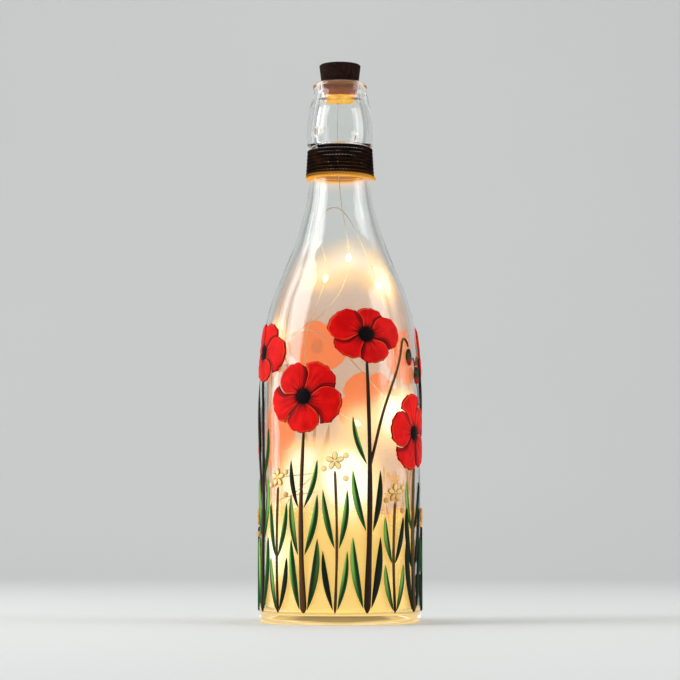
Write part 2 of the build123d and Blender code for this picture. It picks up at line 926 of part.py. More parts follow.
kinds = range(len(flower_heights))
for index, slices in enumerate(round_bottle([petals(kind) for kind in kinds], flower_azimuth)):
    save(f"poppy_{index + 1}", *slices)
for name, make, azimuth_of in (
    ("poppy_hearts", heart, flower_azimuth),
    ("poppy_stems", poppy_stem, flower_azimuth),
    ("poppy_leaves", poppy_leaves, flower_azimuth),
    ("bud_stems", bud_stem, bud_place),
    ("poppy_buds", poppy_bud, bud_place),
    ("sprig_stems", sprig_stem, sprig_azimuth),
    ("sprig_leaves", sprig_leaves, sprig_azimuth),
    ("blossoms", blossom, sprig_azimuth),
    ("paint_dots", paint_dots, sprig_azimuth),
):
    pieces = round_bottle([make(kind) for kind in kinds], azimuth_of)
    save(name, *[piece for group in pieces for piece in group])
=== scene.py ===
# %% [markdown]
# # A cork bottle light
#
# A clear bottle holds a string of small warm lamps that hangs from its cork. The bottle is frosted cream
# inside, dense at the foot and thin above, and poppies are painted on it in raised glossy paint. The
# solids of every piece come packed, and each cell here gives one piece its visible surface and its finish.
# Lengths are written in millimetres and turned into metres where a mesh is made.

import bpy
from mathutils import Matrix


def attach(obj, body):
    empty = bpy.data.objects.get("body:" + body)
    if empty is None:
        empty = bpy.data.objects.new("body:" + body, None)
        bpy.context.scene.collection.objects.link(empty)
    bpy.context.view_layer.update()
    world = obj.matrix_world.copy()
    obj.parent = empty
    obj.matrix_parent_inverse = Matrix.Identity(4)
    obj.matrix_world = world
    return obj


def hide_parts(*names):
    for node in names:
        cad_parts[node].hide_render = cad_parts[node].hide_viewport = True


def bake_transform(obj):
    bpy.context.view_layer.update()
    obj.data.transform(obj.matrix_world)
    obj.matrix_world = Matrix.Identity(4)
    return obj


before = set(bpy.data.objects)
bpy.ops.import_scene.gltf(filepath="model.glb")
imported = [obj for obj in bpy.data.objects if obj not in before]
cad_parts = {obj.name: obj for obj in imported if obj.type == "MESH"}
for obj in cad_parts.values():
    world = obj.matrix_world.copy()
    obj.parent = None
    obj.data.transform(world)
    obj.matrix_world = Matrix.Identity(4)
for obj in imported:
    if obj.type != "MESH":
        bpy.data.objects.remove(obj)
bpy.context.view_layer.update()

import bmesh
import bpy
import numpy as np
from math import pi, radians

scene = bpy.context.scene
scene.view_settings.view_transform = "Standard"
mm = 0.001

# %% [markdown]
# ## Camera
#
# The photograph was taken from just above the shelf with a long lens, a little upwards. A lens of 121 mm
# from 1.2 m away gives the same mild narrowing towards the top.

# %% Camera
lens = bpy.data.cameras.new("camera")
lens.lens = 121
camera = bpy.data.objects.new("camera", lens)
camera.location = (0, -1.2, 0.045)
camera.rotation_euler = (radians(94.9), 0, 0)
scene.collection.objects.link(camera)
scene.camera = camera
print("camera at", tuple(camera.location))

# %% [markdown]
# ## Meshes from grids of points
#
# Nearly every piece is a surface over two parameters, so one helper turns grids of points into a smooth
# mesh. A grid that closes on itself repeats its first points, and the repeated points are merged, which
# also closes poles and pointed tips. All faces of a mesh are turned together, by the sign of the volume
# that it encloses, so its pieces have to be drawn the same way round.


# %% The mesh helper
def surface(name, points, facts=None, uv=None):
    """A smooth closed mesh. points holds grids, shaped (pieces, rows, columns, 3), in millimetres.
    Volume = the sum over triangles of corner . (corner x corner) / 6, and its sign says which way faces turn."""
    pieces, rows, columns = points.shape[:3]
    i = np.arange(rows - 1)[:, None] * columns
    j = np.arange(columns - 1)[None, :]
    corners = np.stack([i + j, i + j + 1, i + columns + j + 1, i + columns + j], -1).reshape(-1, 4)
    quads = (corners[None] + rows * columns * np.arange(pieces)[:, None, None]).reshape(-1, 4)
    flat = points.reshape(-1, 3) * mm
    a, b, c, d = (flat[quads[:, n]] for n in range(4))
    volume = (np.cross(a, b) * c + np.cross(a, c) * d).sum() / 6
    if volume < 0:
        quads = quads[:, ::-1]
    mesh = bpy.data.meshes.new(name)
    mesh.from_pydata(flat.tolist(), [], quads.tolist())
    mesh.polygons.foreach_set("use_smooth", np.ones(len(quads), bool))
    for fact, values in (facts or {}).items():
        layer = mesh.attributes.new(fact, "FLOAT", "POINT")
        spread = np.broadcast_to(values, points.shape[:3]).astype(np.float32)
        layer.data.foreach_set("value", spread.ravel())
    if uv is not None:
        spread = np.broadcast_to(uv, (pieces, rows, columns, 2)).reshape(-1, 2)
        mesh.uv_layers.new(name="UVMap").data.foreach_set("uv", spread[quads.ravel()].ravel())
    merged = bmesh.new()
    merged.from_mesh(mesh)
    bmesh.ops.remove_doubles(merged, verts=merged.verts, dist=1e-6)
    merged.to_mesh(mesh)
    merged.free()
    piece = bpy.data.objects.new(name, mesh)
    scene.collection.objects.link(piece)
    print(name, "faces", len(mesh.polygons), "volume", round(abs(volume) * 1e9, 1), "mm3")
    return piece


def dress(piece, finish):
    """Gives a piece one material in place of any that it has."""
    piece.data.materials.clear()
    piece.data.materials.append(finish.material)


# %% [markdown]
# ## Finishes from expressions
#
# A material here is one Principled shader whose colour, roughness, alpha and glow are worked out from
# noise, from Object coordinates or from values stored on the mesh. A small class wraps a socket, so that
# the maths reads as plain expressions.


# %% Shader helpers
class Signal:
    """A shader socket that can be added, multiplied and shaped like a number."""

    def __init__(self, finish, socket):
        self.finish, self.socket = finish, socket

    def math(self, operation, *values):
        return self.finish.node("ShaderNodeMath", {"operation": operation}, dict(enumerate(values)))

    def __add__(self, other):
        return self.math("ADD", self, other)

    def __sub__(self, other):
        return self.math("SUBTRACT", self, other)

    def __rsub__(self, other):
        return self.math("SUBTRACT", other, self)

    def __mul__(self, other):
        return self.math("MULTIPLY", self, other)

    def most(self, other):
        return self.math("MAXIMUM", self, other)

    def rise(self, start, end):
        """0 before start and 1 after end, with a smooth step between them."""
        sockets = {"Value": self, "From Min": start, "From Max": end}
        return self.finish.node("ShaderNodeMapRange", {"interpolation_type": "SMOOTHSTEP"}, sockets)


class Finish:
    """A material with one Principled shader. Names of its sockets are written with underscores."""

    def __init__(self, name, **values):
        self.material = bpy.data.materials.new(name)
        self.material.use_nodes = True
        self.tree = self.material.node_tree
        self.tree.nodes.clear()
        end = self.tree.nodes.new("ShaderNodeOutputMaterial")
        self.shader = self.tree.nodes.new("ShaderNodeBsdfPrincipled")
        self.tree.links.new(self.shader.outputs[0], end.inputs[0])
        self.set(**values)

    def set(self, **values):
        for name, value in values.items():
            self.feed(self.shader.inputs[name.replace("_", " ").title().replace("Ior", "IOR")], value)

    def feed(self, socket, value):
        if isinstance(value, Signal):
            self.tree.links.new(value.socket, socket)
        else:
            socket.default_value = value

    def node(self, kind, settings=None, sockets=None, output=0):
        """Adds any node: its settings first, then the values or links of its sockets."""
        made = self.tree.nodes.new(kind)
        for name, value in (settings or {}).items():
            setattr(made, name, value)
        for name, value in (sockets or {}).items():
            self.feed(made.inputs[name], value)
        return Signal(self, made.outputs[output])

    def place(self):
        return self.node("ShaderNodeTexCoord", output="Object")

    def axis(self, vector, number):
        return self.node("ShaderNodeSeparateXYZ", sockets={0: vector}, output=number)

    def fact(self, name):
        return self.node("ShaderNodeAttribute", {"attribute_name": name}, output="Fac")

    def stretched(self, vector, factors):
        return self.node("ShaderNodeVectorMath", {"operation": "MULTIPLY"}, {0: vector, 1: factors})

    def noise(self, vector, size, detail=2.0):
        """Smooth noise from 0 to 1, with features of about that size in the vector's own unit."""
        return self.node("ShaderNodeTexNoise", sockets={"Vector": vector, "Scale": 1 / size, "Detail": detail})

    def mix(self, factor, first, second):
        sockets = {0: factor, 6: first, 7: second}
        return self.node("ShaderNodeMix", {"data_type": "RGBA"}, sockets, output=2)

    def bump(self, height, distance):
        sockets = {"Height": height, "Distance": distance, "Strength": 1.0}
        self.set(Normal=self.node("ShaderNodeBump", sockets=sockets))


def rgb(red, green, blue):
    """A display colour from 0 to 255 as the shader's linear one: ((c + 0.055) / 1.055) ^ 2.4."""
    c = np.array([red, green, blue]) / 255
    linear = np.where(c <= 0.04045, c / 12.92, ((c + 0.055) / 1.055) ** 2.4)
    return (*linear.tolist(), 1.0)


# %% [markdown]
# ## The string of lamps
#
# The wire leaves the cork's foot, drops down the neck and wanders round the inside of the glass. It is
# one smooth curve whose control points are the route's, read back as points to carry a tube of two
# lacquered strands twisted together. Fifteen lamps in clear resin drops sit along it at even spacing.

# %% The wire's route
string_points = [
    (-1.3, 4.9, 276.2), (-1.6, 5.2, 256), (-0.9, 5.6, 234.5), (1.6, 7.2, 214.5), (5.4, 11, 197), (3.5, 17.5, 180),
    (-6, 22.5, 166), (-19, 22, 156), (-29.5, 13.5, 147.5), (-34, 0.5, 141), (-33, -11, 143.5), (-26, -21.5, 150),
    (-14.5, -29.5, 151), (-3, -33, 143.5), (8, -34, 132), (19, -30, 119.5), (28.5, -21.5, 109), (34.8, -7, 101),
    (34.8, 8.5, 95.5), (28, 22, 92), (15, 31.5, 90), (0, 34.8, 87.5), (-14, 32, 84.5), (-27, 23, 80.5),
    (-34.5, 9, 77), (-34.5, -6.5, 75.5), (-27.5, -21.5, 75.5), (-15, -31, 76.5), (0, -34.5, 78.5),
    (13.5, -31.5, 83), (25, -23, 88), (31, -9.5, 91), (30.5, 5.5, 92.5), (24.5, 19, 96.5), (13.5, 28, 103),
    (0.5, 31, 110.5), (-11, 28.5, 120), (-18.5, 24, 132), (-20, 20.5, 147), (-16, 18.5, 161.5), (-10, 17, 174),
    (-6.5, 14.5, 186), (-9.5, 11.5, 197), (-12.5, 9.8, 208), (-9, 9, 217.5), (-1, 9, 220), (6, 8.6, 212),
    (11.5, 8.6, 200), (17.5, 9.5, 187), (22, 11.5, 174), (26, 15.5, 160), (28.5, 17.5, 146), (31.5, 7.5, 133),
    (31, -7, 121.5), (24.5, -19.5, 110), (14.5, -28, 99), (2.5, -31.5, 88.5), (-10, -29.5, 78.5), (-21, -22.5, 69),
    (-28.5, -11.5, 60.5), (-30.5, 2.5, 53.5), (-27, 16, 46), (-18.5, 26, 38.5), (-6, 31.5, 33), (8, 31.5, 29),
    (21, 25.5, 26), (30, 14, 24), (33, 0, 22.5), (29.5, -14, 22), (20, -25.5, 23), (6.5, -32.5, 25.5),
    (-8, -32.5, 29), (-21, -27, 33.5), (-30.5, -16.5, 38), (-35, -3, 43.5), (-34.5, 11, 50), (-28, 23, 56),
    (-17.5, 31, 60.5), (-4, 35, 64), (10.5, 34, 66.5), (24, 26.5, 67.5), (33, 14, 67.5), (35.5, -1, 66.5),
    (31.5, -16.5, 66), (21, -28.5, 66.5), (6.5, -34.8, 67.5), (-9, -34.5, 67.5), (-23, -27.5, 66), (-32.5, -15, 63),
    (-36, 0, 61.5), (-33, 14.5, 64), (-24.5, 26.5, 69), (-12, 33.5, 74),
]
route = bpy.data.curves.new("route", "CURVE")
route.dimensions = "3D"
route.resolution_u = 24
spline = route.splines.new("NURBS")
spline.points.add(len(string_points) - 1)
weights = np.ones(len(string_points))
spline.points.foreach_set("co", np.column_stack([np.array(string_points) * mm, weights]).ravel())
spline.order_u = 3
spline.use_endpoint_u = True
route_object = bpy.data.objects.new("route", route)
scene.collection.objects.link(route_object)
read = bpy.data.meshes.new_from_object(route_object)
line = np.zeros(len(read.vertices) * 3)
read.vertices.foreach_get("co", line)
line = line.reshape(-1, 3) / mm
bpy.data.objects.remove(route_object)
steps = np.linalg.norm(np.diff(line, axis=0), axis=1)
along = np.concatenate([[0], np.cumsum(steps)])
print("wire length", round(along[-1], 1), "mm in", len(line), "points")


# %% The wire and its lamps
def frames(path, outward):
    """Three directions at each point of a path: ahead along it, outwards square to that, and across both."""
    ahead = np.gradient(path, axis=0)
    ahead /= np.linalg.norm(ahead, axis=1, keepdims=True)
    out = outward - (outward * ahead).sum(1, keepdims=True) * ahead
    out /= np.linalg.norm(out, axis=1, keepdims=True)
    return ahead, out, np.cross(ahead, out)


def laid(path, outward, radius, strands, lay, columns):
    """A rope of a few strands carried along a path, closed at its ends: its points, their uv, the way that
    each point faces, and a value that is 1 on a strand's crest and falls towards the groove.
    Each strand is a circle that stands off the middle by c = 0.48 of the radius and is p = 0.52 wide, so in a
    direction s from the strand the rope reaches c cos s + sqrt(p^2 - c^2 sin^2 s), and s turns once per lay."""
    ahead, out, across = frames(path, outward)
    length = np.concatenate([[0], np.cumsum(np.linalg.norm(np.diff(path, axis=0), axis=1))])
    angle = np.linspace(0, 2 * pi, columns + 1)[None, :]
    turned = (angle - 2 * pi * length[:, None] / lay) * strands / 2
    s = np.arcsin(np.sin(turned)) * 2 / strands
    reach = radius * (0.48 * np.cos(s) + np.sqrt(0.52**2 - (0.48 * np.sin(s)) ** 2))
    reach[[0, -1]] = 0
    ring = out[:, None] * np.cos(angle)[..., None] + across[:, None] * np.sin(angle)[..., None]
    uv = np.stack(np.broadcast_arrays(length[:, None] * mm, angle / (2 * pi)), -1)
    return path[:, None] + ring * reach[..., None], uv, ring, np.cos(s) * 2 - 1


lamp_count, lamp_first, lamp_spacing, planned_length = 15, 85.0, 92.5, 1392.7
lamp_spots = (lamp_first + lamp_spacing * np.arange(lamp_count)) / planned_length * along[-1]
lamps = np.stack([np.interp(lamp_spots, along, line[:, n]) for n in range(3)], 1)


def glow(points, near=12.0, wide=28.0, wide_share=0.17):
    """Light from the lamps on a surface: for each lamp, a close bell exp(-(d / near)^2) and a wide, fainter one."""
    total = np.zeros(points.shape[:-1])
    for lamp in lamps:
        away = ((points - lamp) ** 2).sum(-1)
        total += np.exp(-away / near**2) + wide_share * np.exp(-away / wide**2)
    return total


capped = np.concatenate([line[:1], line, line[-1:]])
capped[0] -= (line[1] - line[0]) * 1e-3
capped[-1] += (line[-1] - line[-2]) * 1e-3
level = np.array([1, 1, 0])
grid, uv = laid(capped, capped * level, 0.35, 2, 6.0, 10)[:2]
string = surface("twisted_wire", grid[None], {"glow": glow(grid)}, uv)

at = np.searchsorted(along, lamp_spots)
forth, outwards, aside = (way[at][:, None, None] for way in frames(line, line * level))
core = lamps[:, None, None]


def about(angle):
    """The direction square to the wire, at an angle from the one that points outwards."""
    return outwards * np.cos(angle) + aside * np.sin(angle)


drop_radius, drop_reach = 1.45, 2.3
t = np.linspace(-1, 1, 17)[None, :, None, None]
angle = np.linspace(0, 2 * pi, 17)[None, None, :, None]
pull = drop_radius * np.sqrt(1 - t**2) * (1 + 0.12 * t)
drops = surface("resin_drops", core + forth * drop_reach * t + about(angle) * pull)

chip_reach, chip_corner, chip_stand = 0.5, 0.42, 0.71
end = chip_reach * np.array([-1, -1, 1, 1])[None, :, None, None]
corner = radians(45) + np.linspace(0, 2 * pi, 5)[None, None, :, None]
side = chip_corner * np.array([0, 1, 1, 0])[None, :, None, None]
chips = surface("lit_chips", core + outwards * chip_stand + forth * end + about(corner) * side)

# %% Finishes of the wire and lamps
lacquer = Finish("lacquered_wire", roughness=0.3, metallic=0.7)
tone = lacquer.noise(lacquer.place(), 0.004)
lacquer.set(
    base_color=lacquer.mix(tone, rgb(226, 218, 200), rgb(198, 186, 162)),
    emission_color=lacquer.mix(lacquer.fact("glow").rise(0, 1.2), rgb(26, 22, 14), rgb(255, 232, 170)),
    emission_strength=0.8,
)
resin = Finish("lamp_resin", roughness=0.1, emission_strength=2.5)
warm = resin.noise(resin.place(), 0.002)
resin.set(
    base_color=resin.mix(warm, rgb(255, 240, 205), rgb(250, 226, 170)),
    emission_color=resin.mix(warm, rgb(255, 226, 160), rgb(255, 240, 200)),
)
phosphor = Finish("lamp_phosphor", roughness=0.6, emission_strength=4.0)
speck = phosphor.noise(phosphor.place(), 0.0003)
phosphor.set(
    base_color=phosphor.mix(speck, rgb(250, 210, 90), rgb(240, 190, 60)),
    emission_color=phosphor.mix(speck, rgb(255, 226, 150), rgb(255, 214, 120)),
)
dress(string, lacquer)
dress(drops, resin)
dress(chips, phosphor)
for piece, node, slot in (
    (string, "light_string", "wire"),
    (drops, "lamp_drops", "lamp_resin"),
    (chips, "lamp_chips", "lamp_chip"),
):
    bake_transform(piece)
    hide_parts(node)

# %% [markdown]
# ## The bottle
#
# A moulded bottle is one closed wall: up the outside, over the lip and down the inside. Its half section
# is a list of radius and height that is turned about the axis. The long shoulder is a cubic spline, and
# two dimples for a wire bail are pressed into the head. Keeping both sides of the wall lets the glass
# bend light as the real one does, with dark and bright lines beside its edges.


# %% The bottle's outline
def smooth(x, y, first, last, wanted):
    """A cubic spline through points, with given end slopes. The slopes m between them solve
    h2 m0 + 2 (h1 + h2) m1 + h1 m2 = 3 (h2 d1 + h1 d2), and each span blends its two values and slopes."""
    x, y = np.asarray(x, float), np.asarray(y, float)
    h, n = np.diff(x), len(x)
    d = np.diff(y) / h
    lines, right = np.eye(n), np.zeros(n)
    right[0], right[-1] = first, last
    k = np.arange(1, n - 1)
    lines[k, k - 1], lines[k, k], lines[k, k + 1] = h[1:], 2 * (h[:-1] + h[1:]), h[:-1]
    right[k] = 3 * (h[1:] * d[:-1] + h[:-1] * d[1:])
    m = np.linalg.solve(lines, right)
    i = np.clip(np.searchsorted(x, wanted) - 1, 0, n - 2)
    t = (wanted - x[i]) / h[i]
    value = (1 + 2 * t) * (1 - t) ** 2 * y[i] + t**2 * (3 - 2 * t) * y[i + 1]
    return value + h[i] * (t * (1 - t) ** 2 * m[i] - t**2 * (1 - t) * m[i + 1])


wall, floor_thickness, floor_rise = 3.2, 4.5, 9
body_radius, straight_top = 42.0, 118.0
neck_foot, neck_foot_radius = 230.0, 16.4
neck_top, neck_top_radius = 250.3, 15.2
heel_radius, inner_heel_radius = 3, 5
inner_heel = (body_radius - wall - inner_heel_radius, floor_thickness + inner_heel_radius)
neck_slope = (neck_top_radius - neck_foot_radius) / (neck_top - neck_foot)
shoulder_heights = straight_top + (neck_foot - straight_top) * np.array([0, 0.286, 0.5125, 0.664, 0.817, 1])
shoulder_radii = neck_foot_radius + (body_radius - neck_foot_radius) * np.array([1, 0.922, 0.664, 0.383, 0.156, 0])


def outside(height):
    """The bottle's outer radius at a height: straight body, spline shoulder, straight neck."""
    height = np.asarray(height, float)
    curved = smooth(shoulder_heights, shoulder_radii, 0, neck_slope, np.clip(height, straight_top, neck_foot))
    return np.where(height > neck_foot, neck_foot_radius + neck_slope * (height - neck_foot), curved)


def arc(middle, radius, start, end, count):
    """Points of an arc about a middle, from one angle to another, in degrees."""
    a = np.radians(np.linspace(start, end, count))
    return np.stack([middle[0] + radius * np.cos(a), middle[1] + radius * np.sin(a)], 1)


def dome(radius, foot, rise, count):
    """A pushed-up floor: height = foot + rise (1 - (r / radius)^2.1)."""
    r = np.linspace(0, radius, count)
    return np.stack([r, foot + rise * (1 - (r / radius) ** 2.1)], 1)


def bell(value, middle, width):
    return np.exp(-(((value - middle) / width) ** 2))


sides = np.concatenate(
    [
        np.linspace(heel_radius, straight_top, 24),
        np.linspace(straight_top, neck_foot, 70)[1:],
        np.linspace(neck_foot, neck_top, 12)[1:],
    ]
)
head = np.linspace(251.4, 279.2, 72)
head_radii = smooth([251.2, 256.5, 268.4, 279.2], [17.3, 17.8, 16.6, 14.1], 0.18, -0.3, head)
cavity = np.linspace(275.6, 250.3, 28)
cavity_radii = smooth([250.3, 257.5, 267.5, 275.6], [12.0, 12.9, 12.0, 8.84], 0.2, -0.7, cavity)
low = sides[::-1]
section = np.concatenate(
    [
        dome(33.5, 0, floor_rise, 14),
        [[34.2, 0], [38.2, 0]],
        arc((body_radius - heel_radius, heel_radius), heel_radius, -90, 0, 10)[:-1],
        np.stack([outside(sides), sides], 1),
        [[15.35, 250.42], [15.8, 250.55], [16.6, 250.75], [17.1, 251.05]],
        np.stack([head_radii, head], 1),
        [[14.12, 280.4], [14.3, 281.8]],
        arc((12.6, 282.8), 1.8, 0, 90, 10),
        arc((10.7, 283.8), 0.8, 90, 180, 7),
        [[9.6, 281.4], [9.22, 278.4]],
        np.stack([cavity_radii, cavity], 1),
        np.stack([outside(low) - wall, low], 1)[1:-2],
        arc(inner_heel, inner_heel_radius, 0, -90, 10),
        dome(inner_heel[0], floor_thickness, floor_rise, 14)[::-1],
    ]
)
outer_rows = np.arange(len(section)) < len(section) * 0.55


# %% The blown glass
def turned(section, columns):
    """A section turned about the axis: x = r sin a, y = -r cos a, with the front at a = 0."""
    a = np.linspace(0, 2 * pi, columns + 1)[None, :]
    r, z = section[:, 0, None], section[:, 1, None] + 0 * a
    return np.stack([r * np.sin(a), -r * np.cos(a), z], -1)


glass_columns = 240
glass_grid, dimple, dimple_rim_highlight = turned(section, glass_columns), 0, 0
azimuth = np.degrees(np.linspace(0, 2 * pi, glass_columns + 1))[None, :]
seat_height, seat_depth, seat_radius, head_radius = 256.8, 1.7, 2.8, 17.7
for seat in (-42.7, 137.3):
    beside = np.radians((azimuth - seat + 180) % 360 - 180) * head_radius
    away = np.hypot(beside, section[:, 1, None] - seat_height)
    pressed = seat_depth * np.clip(1 - (away / seat_radius) ** 2, 0, 1) ** 0.8 * outer_rows[:, None]
    dimple = dimple + bell(away, 0, 1.4) * outer_rows[:, None]
    # A ring round each dimple's edge, used below as a painted pale highlight.
    dimple_rim_highlight = dimple_rim_highlight + bell(away, 2.5, 0.45) * outer_rows[:, None]
    glass_grid[..., :2] *= (1 - pressed / np.maximum(section[:, 0, None], 1))[..., None]
height = section[:, 1, None]
# Painted lamp light for the glass's emission: a warm glow at the lip, on the dimples and down the inner neck.
lit = 0.34 * bell(height, 282.8, 1.3) + 0.8 * dimple
lit = lit + 0.12 * bell(height, 279, 5) * (section[:, 0, None] < 12.7)
lit = lit + 0.5 * bell(height, 236, 7) * (1 - outer_rows[:, None])
# A painted warm glow in the glass's foot.
foot = np.clip(1 - height / 5.5, 0, 1) ** 0.5
bottle = surface("blown_glass", glass_grid[None], {"lit": lit, "foot": foot, "ring": dimple_rim_highlight})

# The glass's emission is all painted light: a warm glow at the foot, a pale highlight ring round each dimple, and
# the lamps' orange glow at the lip, dimples and inner neck.
clear = Finish("clear_glass", roughness=0.0, transmission_weight=1.0, ior=1.5, emission_strength=1.0)
ripple = clear.noise(clear.place(), 0.02, 1.0)
clear.set(
    base_color=clear.mix(ripple, (0.97, 0.985, 0.975, 1), (0.99, 0.995, 0.99, 1)),
    emission_color=clear.mix(
        clear.fact("foot"),
        clear.mix(
            clear.fact("ring") * 0.6,
            clear.mix(clear.fact("lit").rise(0, 1), (0, 0, 0, 1), (0.55, 0.19, 0.02, 1)),
            (0.9, 0.85, 0.72, 1),
        ),
        (0.27, 0.18, 0.058, 1),
    ),
)
clear.bump(ripple, 0.0004)
dress(bottle, clear)
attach(bottle, "bottle")
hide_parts("bottle_glass")

# %% [markdown]
# ## The frosting
#
# The cream frosting is sprayed inside: solid at the foot, breaking into speckles above, then a thin mist
# up to the shoulder. It is a thin closed skin on the inner wall whose alpha follows the height and a fine
# noise, and it lines the floor too. Each point stores how near the lamps are, and the lamps' light is
# painted on: a glow in its emission and a haze that thickens its alpha near each lamp.

# %% The frost skin
film_top, film_gap, film_thickness = 212, 0.03, 0.25


def film_side(depth):
    """One side of the film, at a depth inside the glass: over the floor, round the heel and up the wall."""
    floor_line = dome(inner_heel[0], floor_thickness + depth, floor_rise, 10)
    heel = arc(inner_heel, inner_heel_radius - depth, -90, 0, 8)[1:-1]
    up = np.linspace(inner_heel[1], film_top, 138)
    return np.concatenate([floor_line, heel, np.stack([outside(up) - wall - depth, up], 1)])


skin = np.concatenate([film_side(film_gap), film_side(film_gap + film_thickness)[::-1]])
frost_grid = turned(skin, 224)
frost = surface("frost_skin", frost_grid[None], {"glow": glow(frost_grid)})

frosting = Finish("frosting", roughness=0.75, emission_strength=1.3)
spot = frosting.place()
rise = frosting.axis(spot, 2) * 1000
grain = frosting.noise(spot, 0.0011, 3.0)
drift = frosting.noise(spot, 0.012, 2.0)
dense = 1 - (rise + drift * 16).rise(44, 84)
spray = ((dense * 1.7 + grain - 1.0) * 2.0).rise(0, 1)
mist = (1 - rise.rise(148, 206)) * (drift * 0.10 + 0.12)
bright = frosting.fact("glow")
# A painted haze of lamp light: the alpha grows near each lamp, below the shoulder.
through = bright.rise(0.25, 1.0) * (1 - (rise + drift * 18 - 9).rise(176, 208)) * 0.75
# The skin's emission is painted light: a faint warm glow all over, warmer and then near-white towards each lamp.
film = frosting.mix(spray, rgb(166, 116, 64), rgb(172, 142, 66))
frost_lit_by_lamps = frosting.mix(bright.rise(0.1, 0.7), film, rgb(238, 206, 148))
frosting.set(
    base_color=frosting.mix(spray, rgb(178, 130, 78), rgb(250, 224, 150)),
    alpha=(spray * 0.93).most(mist) + through,
    emission_color=frosting.mix(bright.rise(0.65, 1.15), frost_lit_by_lamps, rgb(255, 248, 222)),
)
frosting.bump(grain, 0.0001)
dress(frost, frosting)
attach(frost, "bottle")
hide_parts("frost_coat")

# %% [markdown]
# ## The twine
#
# Eight turns of dark jute twine go down round the neck, and its end sticks out at the right. The path is
# a helix that follows the neck's taper, and a three-strand rope is carried along it. The lowest turn is
# painted as if lit from below, so each point stores how low it lies and how far it faces down.

# %% The wound twine
start_angle, pitch, turns = radians(-40), 1.95, 8.25
turn = np.linspace(0, turns, 2640)
wound_angle = start_angle + 2 * pi * turn
twine_top, twine_tail, rope_radius, rope_stand = 249.2, 8, 1.02, 1.03
wound_height = twine_top - pitch * turn
wound_radius = neck_foot_radius + neck_slope * (wound_height - neck_foot) + rope_stand
helix = np.stack(
    [wound_radius * np.sin(wound_angle), -wound_radius * np.cos(wound_angle), wound_height], 1
)
start_way = (helix[0] - helix[1]) / np.linalg.norm(helix[0] - helix[1])
end_way = (helix[-1] - helix[-2]) / np.linalg.norm(helix[-1] - helix[-2])
before = helix[0] + start_way * np.linspace(1.4, 0.3, 5)[:, None]
reach = np.linspace(0.33, twine_tail, 24)[:, None]
after = helix[-1] + end_way * reach + np.array([0, 0, -0.006]) * reach**2
twine_path = np.concatenate([before[:1] + start_way * 1e-3, before, helix, after, after[-1:] + end_way * 1e-3])
grid, uv, ring, crest = laid(twine_path, twine_path * level, rope_radius, 3, 5.0, 24)
inner = -(ring[..., 0] * grid[..., 0] + ring[..., 1] * grid[..., 1]) / np.hypot(grid[..., 0], grid[..., 1])
under = np.clip(0.35 - ring[..., 2] + 0.5 * inner, 0, 1)
lit = np.clip((236.2 - grid[..., 2]) / 3.2, 0, 1) * under + 0.75 * np.clip((234.3 - grid[..., 2]) / 0.7, 0, 1)
twine = surface("laid_twine", grid[None], {"lit": lit, "crest": crest}, uv)

jute = Finish("dark_jute", roughness=0.95, specular_ior_level=0.05, emission_strength=1.3)
thread = jute.node("ShaderNodeUVMap", {"uv_map": "UVMap"})
fibre = jute.noise(jute.stretched(thread, (900.0, 7.0, 1.0)), 1.0, 4.0)
patch = jute.noise(jute.place(), 0.006)
# Painted shade and light: the base colour goes near-black in the grooves between strands and lighter on the crests
# where the fibres are pale, and the emission is the lowest turn's painted glow, strongest on the crests.
jute.set(
    base_color=jute.mix(
        fibre.rise(0.35, 0.8) * jute.fact("crest").rise(0.1, 0.9),
        rgb(10, 6, 5),
        jute.mix(patch.rise(0.4, 0.7), rgb(42, 27, 20), rgb(88, 48, 28)),
    ),
    emission_color=jute.mix(
        jute.fact("lit") * (jute.fact("crest") * 0.8 + 0.2),
        (0, 0, 0, 1),
        jute.mix(fibre, rgb(190, 100, 20), rgb(255, 196, 80)),
    ),
)
jute.bump(fibre, 0.0002)
dress(twine, jute)
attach(twine, "bottle")
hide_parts("neck_twine")

# %% [markdown]
# ## Raised paint
#
# The painting is laid on thick: every petal, leaf, stem and dot stands off the glass with a rounded edge.
# Each is drawn flat, x across and z up as seen from in front, then carried onto the bottle and turned to
# its place. A piece is a grid with a crown that falls to nothing at its border, closed by the same grid
# lying on the glass. Each point stores how far it is from the border and whether it faces the glass.


# %% Paint helpers
def on_bottle(x, z, lift, azimuth):
    """Carries flat points onto the bottle: y = -sqrt((R(z) + lift)^2 - x^2), then a turn by azimuth."""
    y = -np.sqrt((outside(z) + lift) ** 2 - x**2)
    a = np.radians(azimuth)
    return np.stack([x * np.cos(a) - y * np.sin(a), x * np.sin(a) + y * np.cos(a), z + 0 * x], -1)


def spread(count):
    """Steps from 0 to 1, closer near both ends: (1 - cos(pi s)) / 2."""
    return (1 - np.cos(pi * np.linspace(0, 1, count))) / 2


def paint(name, x, z, crown, relief, azimuth, edge, shade, nodes, u=None, v=None):
    """One object of raised paint from grids of flat points, each shaped (pieces, rows, columns)."""
    x, z, crown, edge = np.broadcast_arrays(x, z, crown, edge)
    azimuth = np.asarray(azimuth, float).reshape(-1, 1, 1)
    topside = on_bottle(x, z, 0.05 + relief * crown, azimuth)
    backside = on_bottle(x, z, 0.05 + 0 * crown, azimuth)
    points = np.concatenate([topside, backside[:, ::-1]], 1)
    facts = {
        "edge": np.concatenate([edge, edge[:, ::-1]], 1),
        "backing": np.concatenate([0 * edge, 0 * edge + 1], 1),
        "shade": np.asarray(shade, float).reshape(-1, 1, 1),
        "glow": glow(points, 9.0, 24.0),
    }
    uv = None
    if u is not None:
        u, v = np.broadcast_arrays(u, v, x)[:2]
        uv = np.stack([np.concatenate([u, u[:, ::-1]], 1), np.concatenate([v, v[:, ::-1]], 1)], -1)
    piece = surface(name, points, facts, uv)
    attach(piece, "bottle")
    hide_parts(*nodes)
    return piece


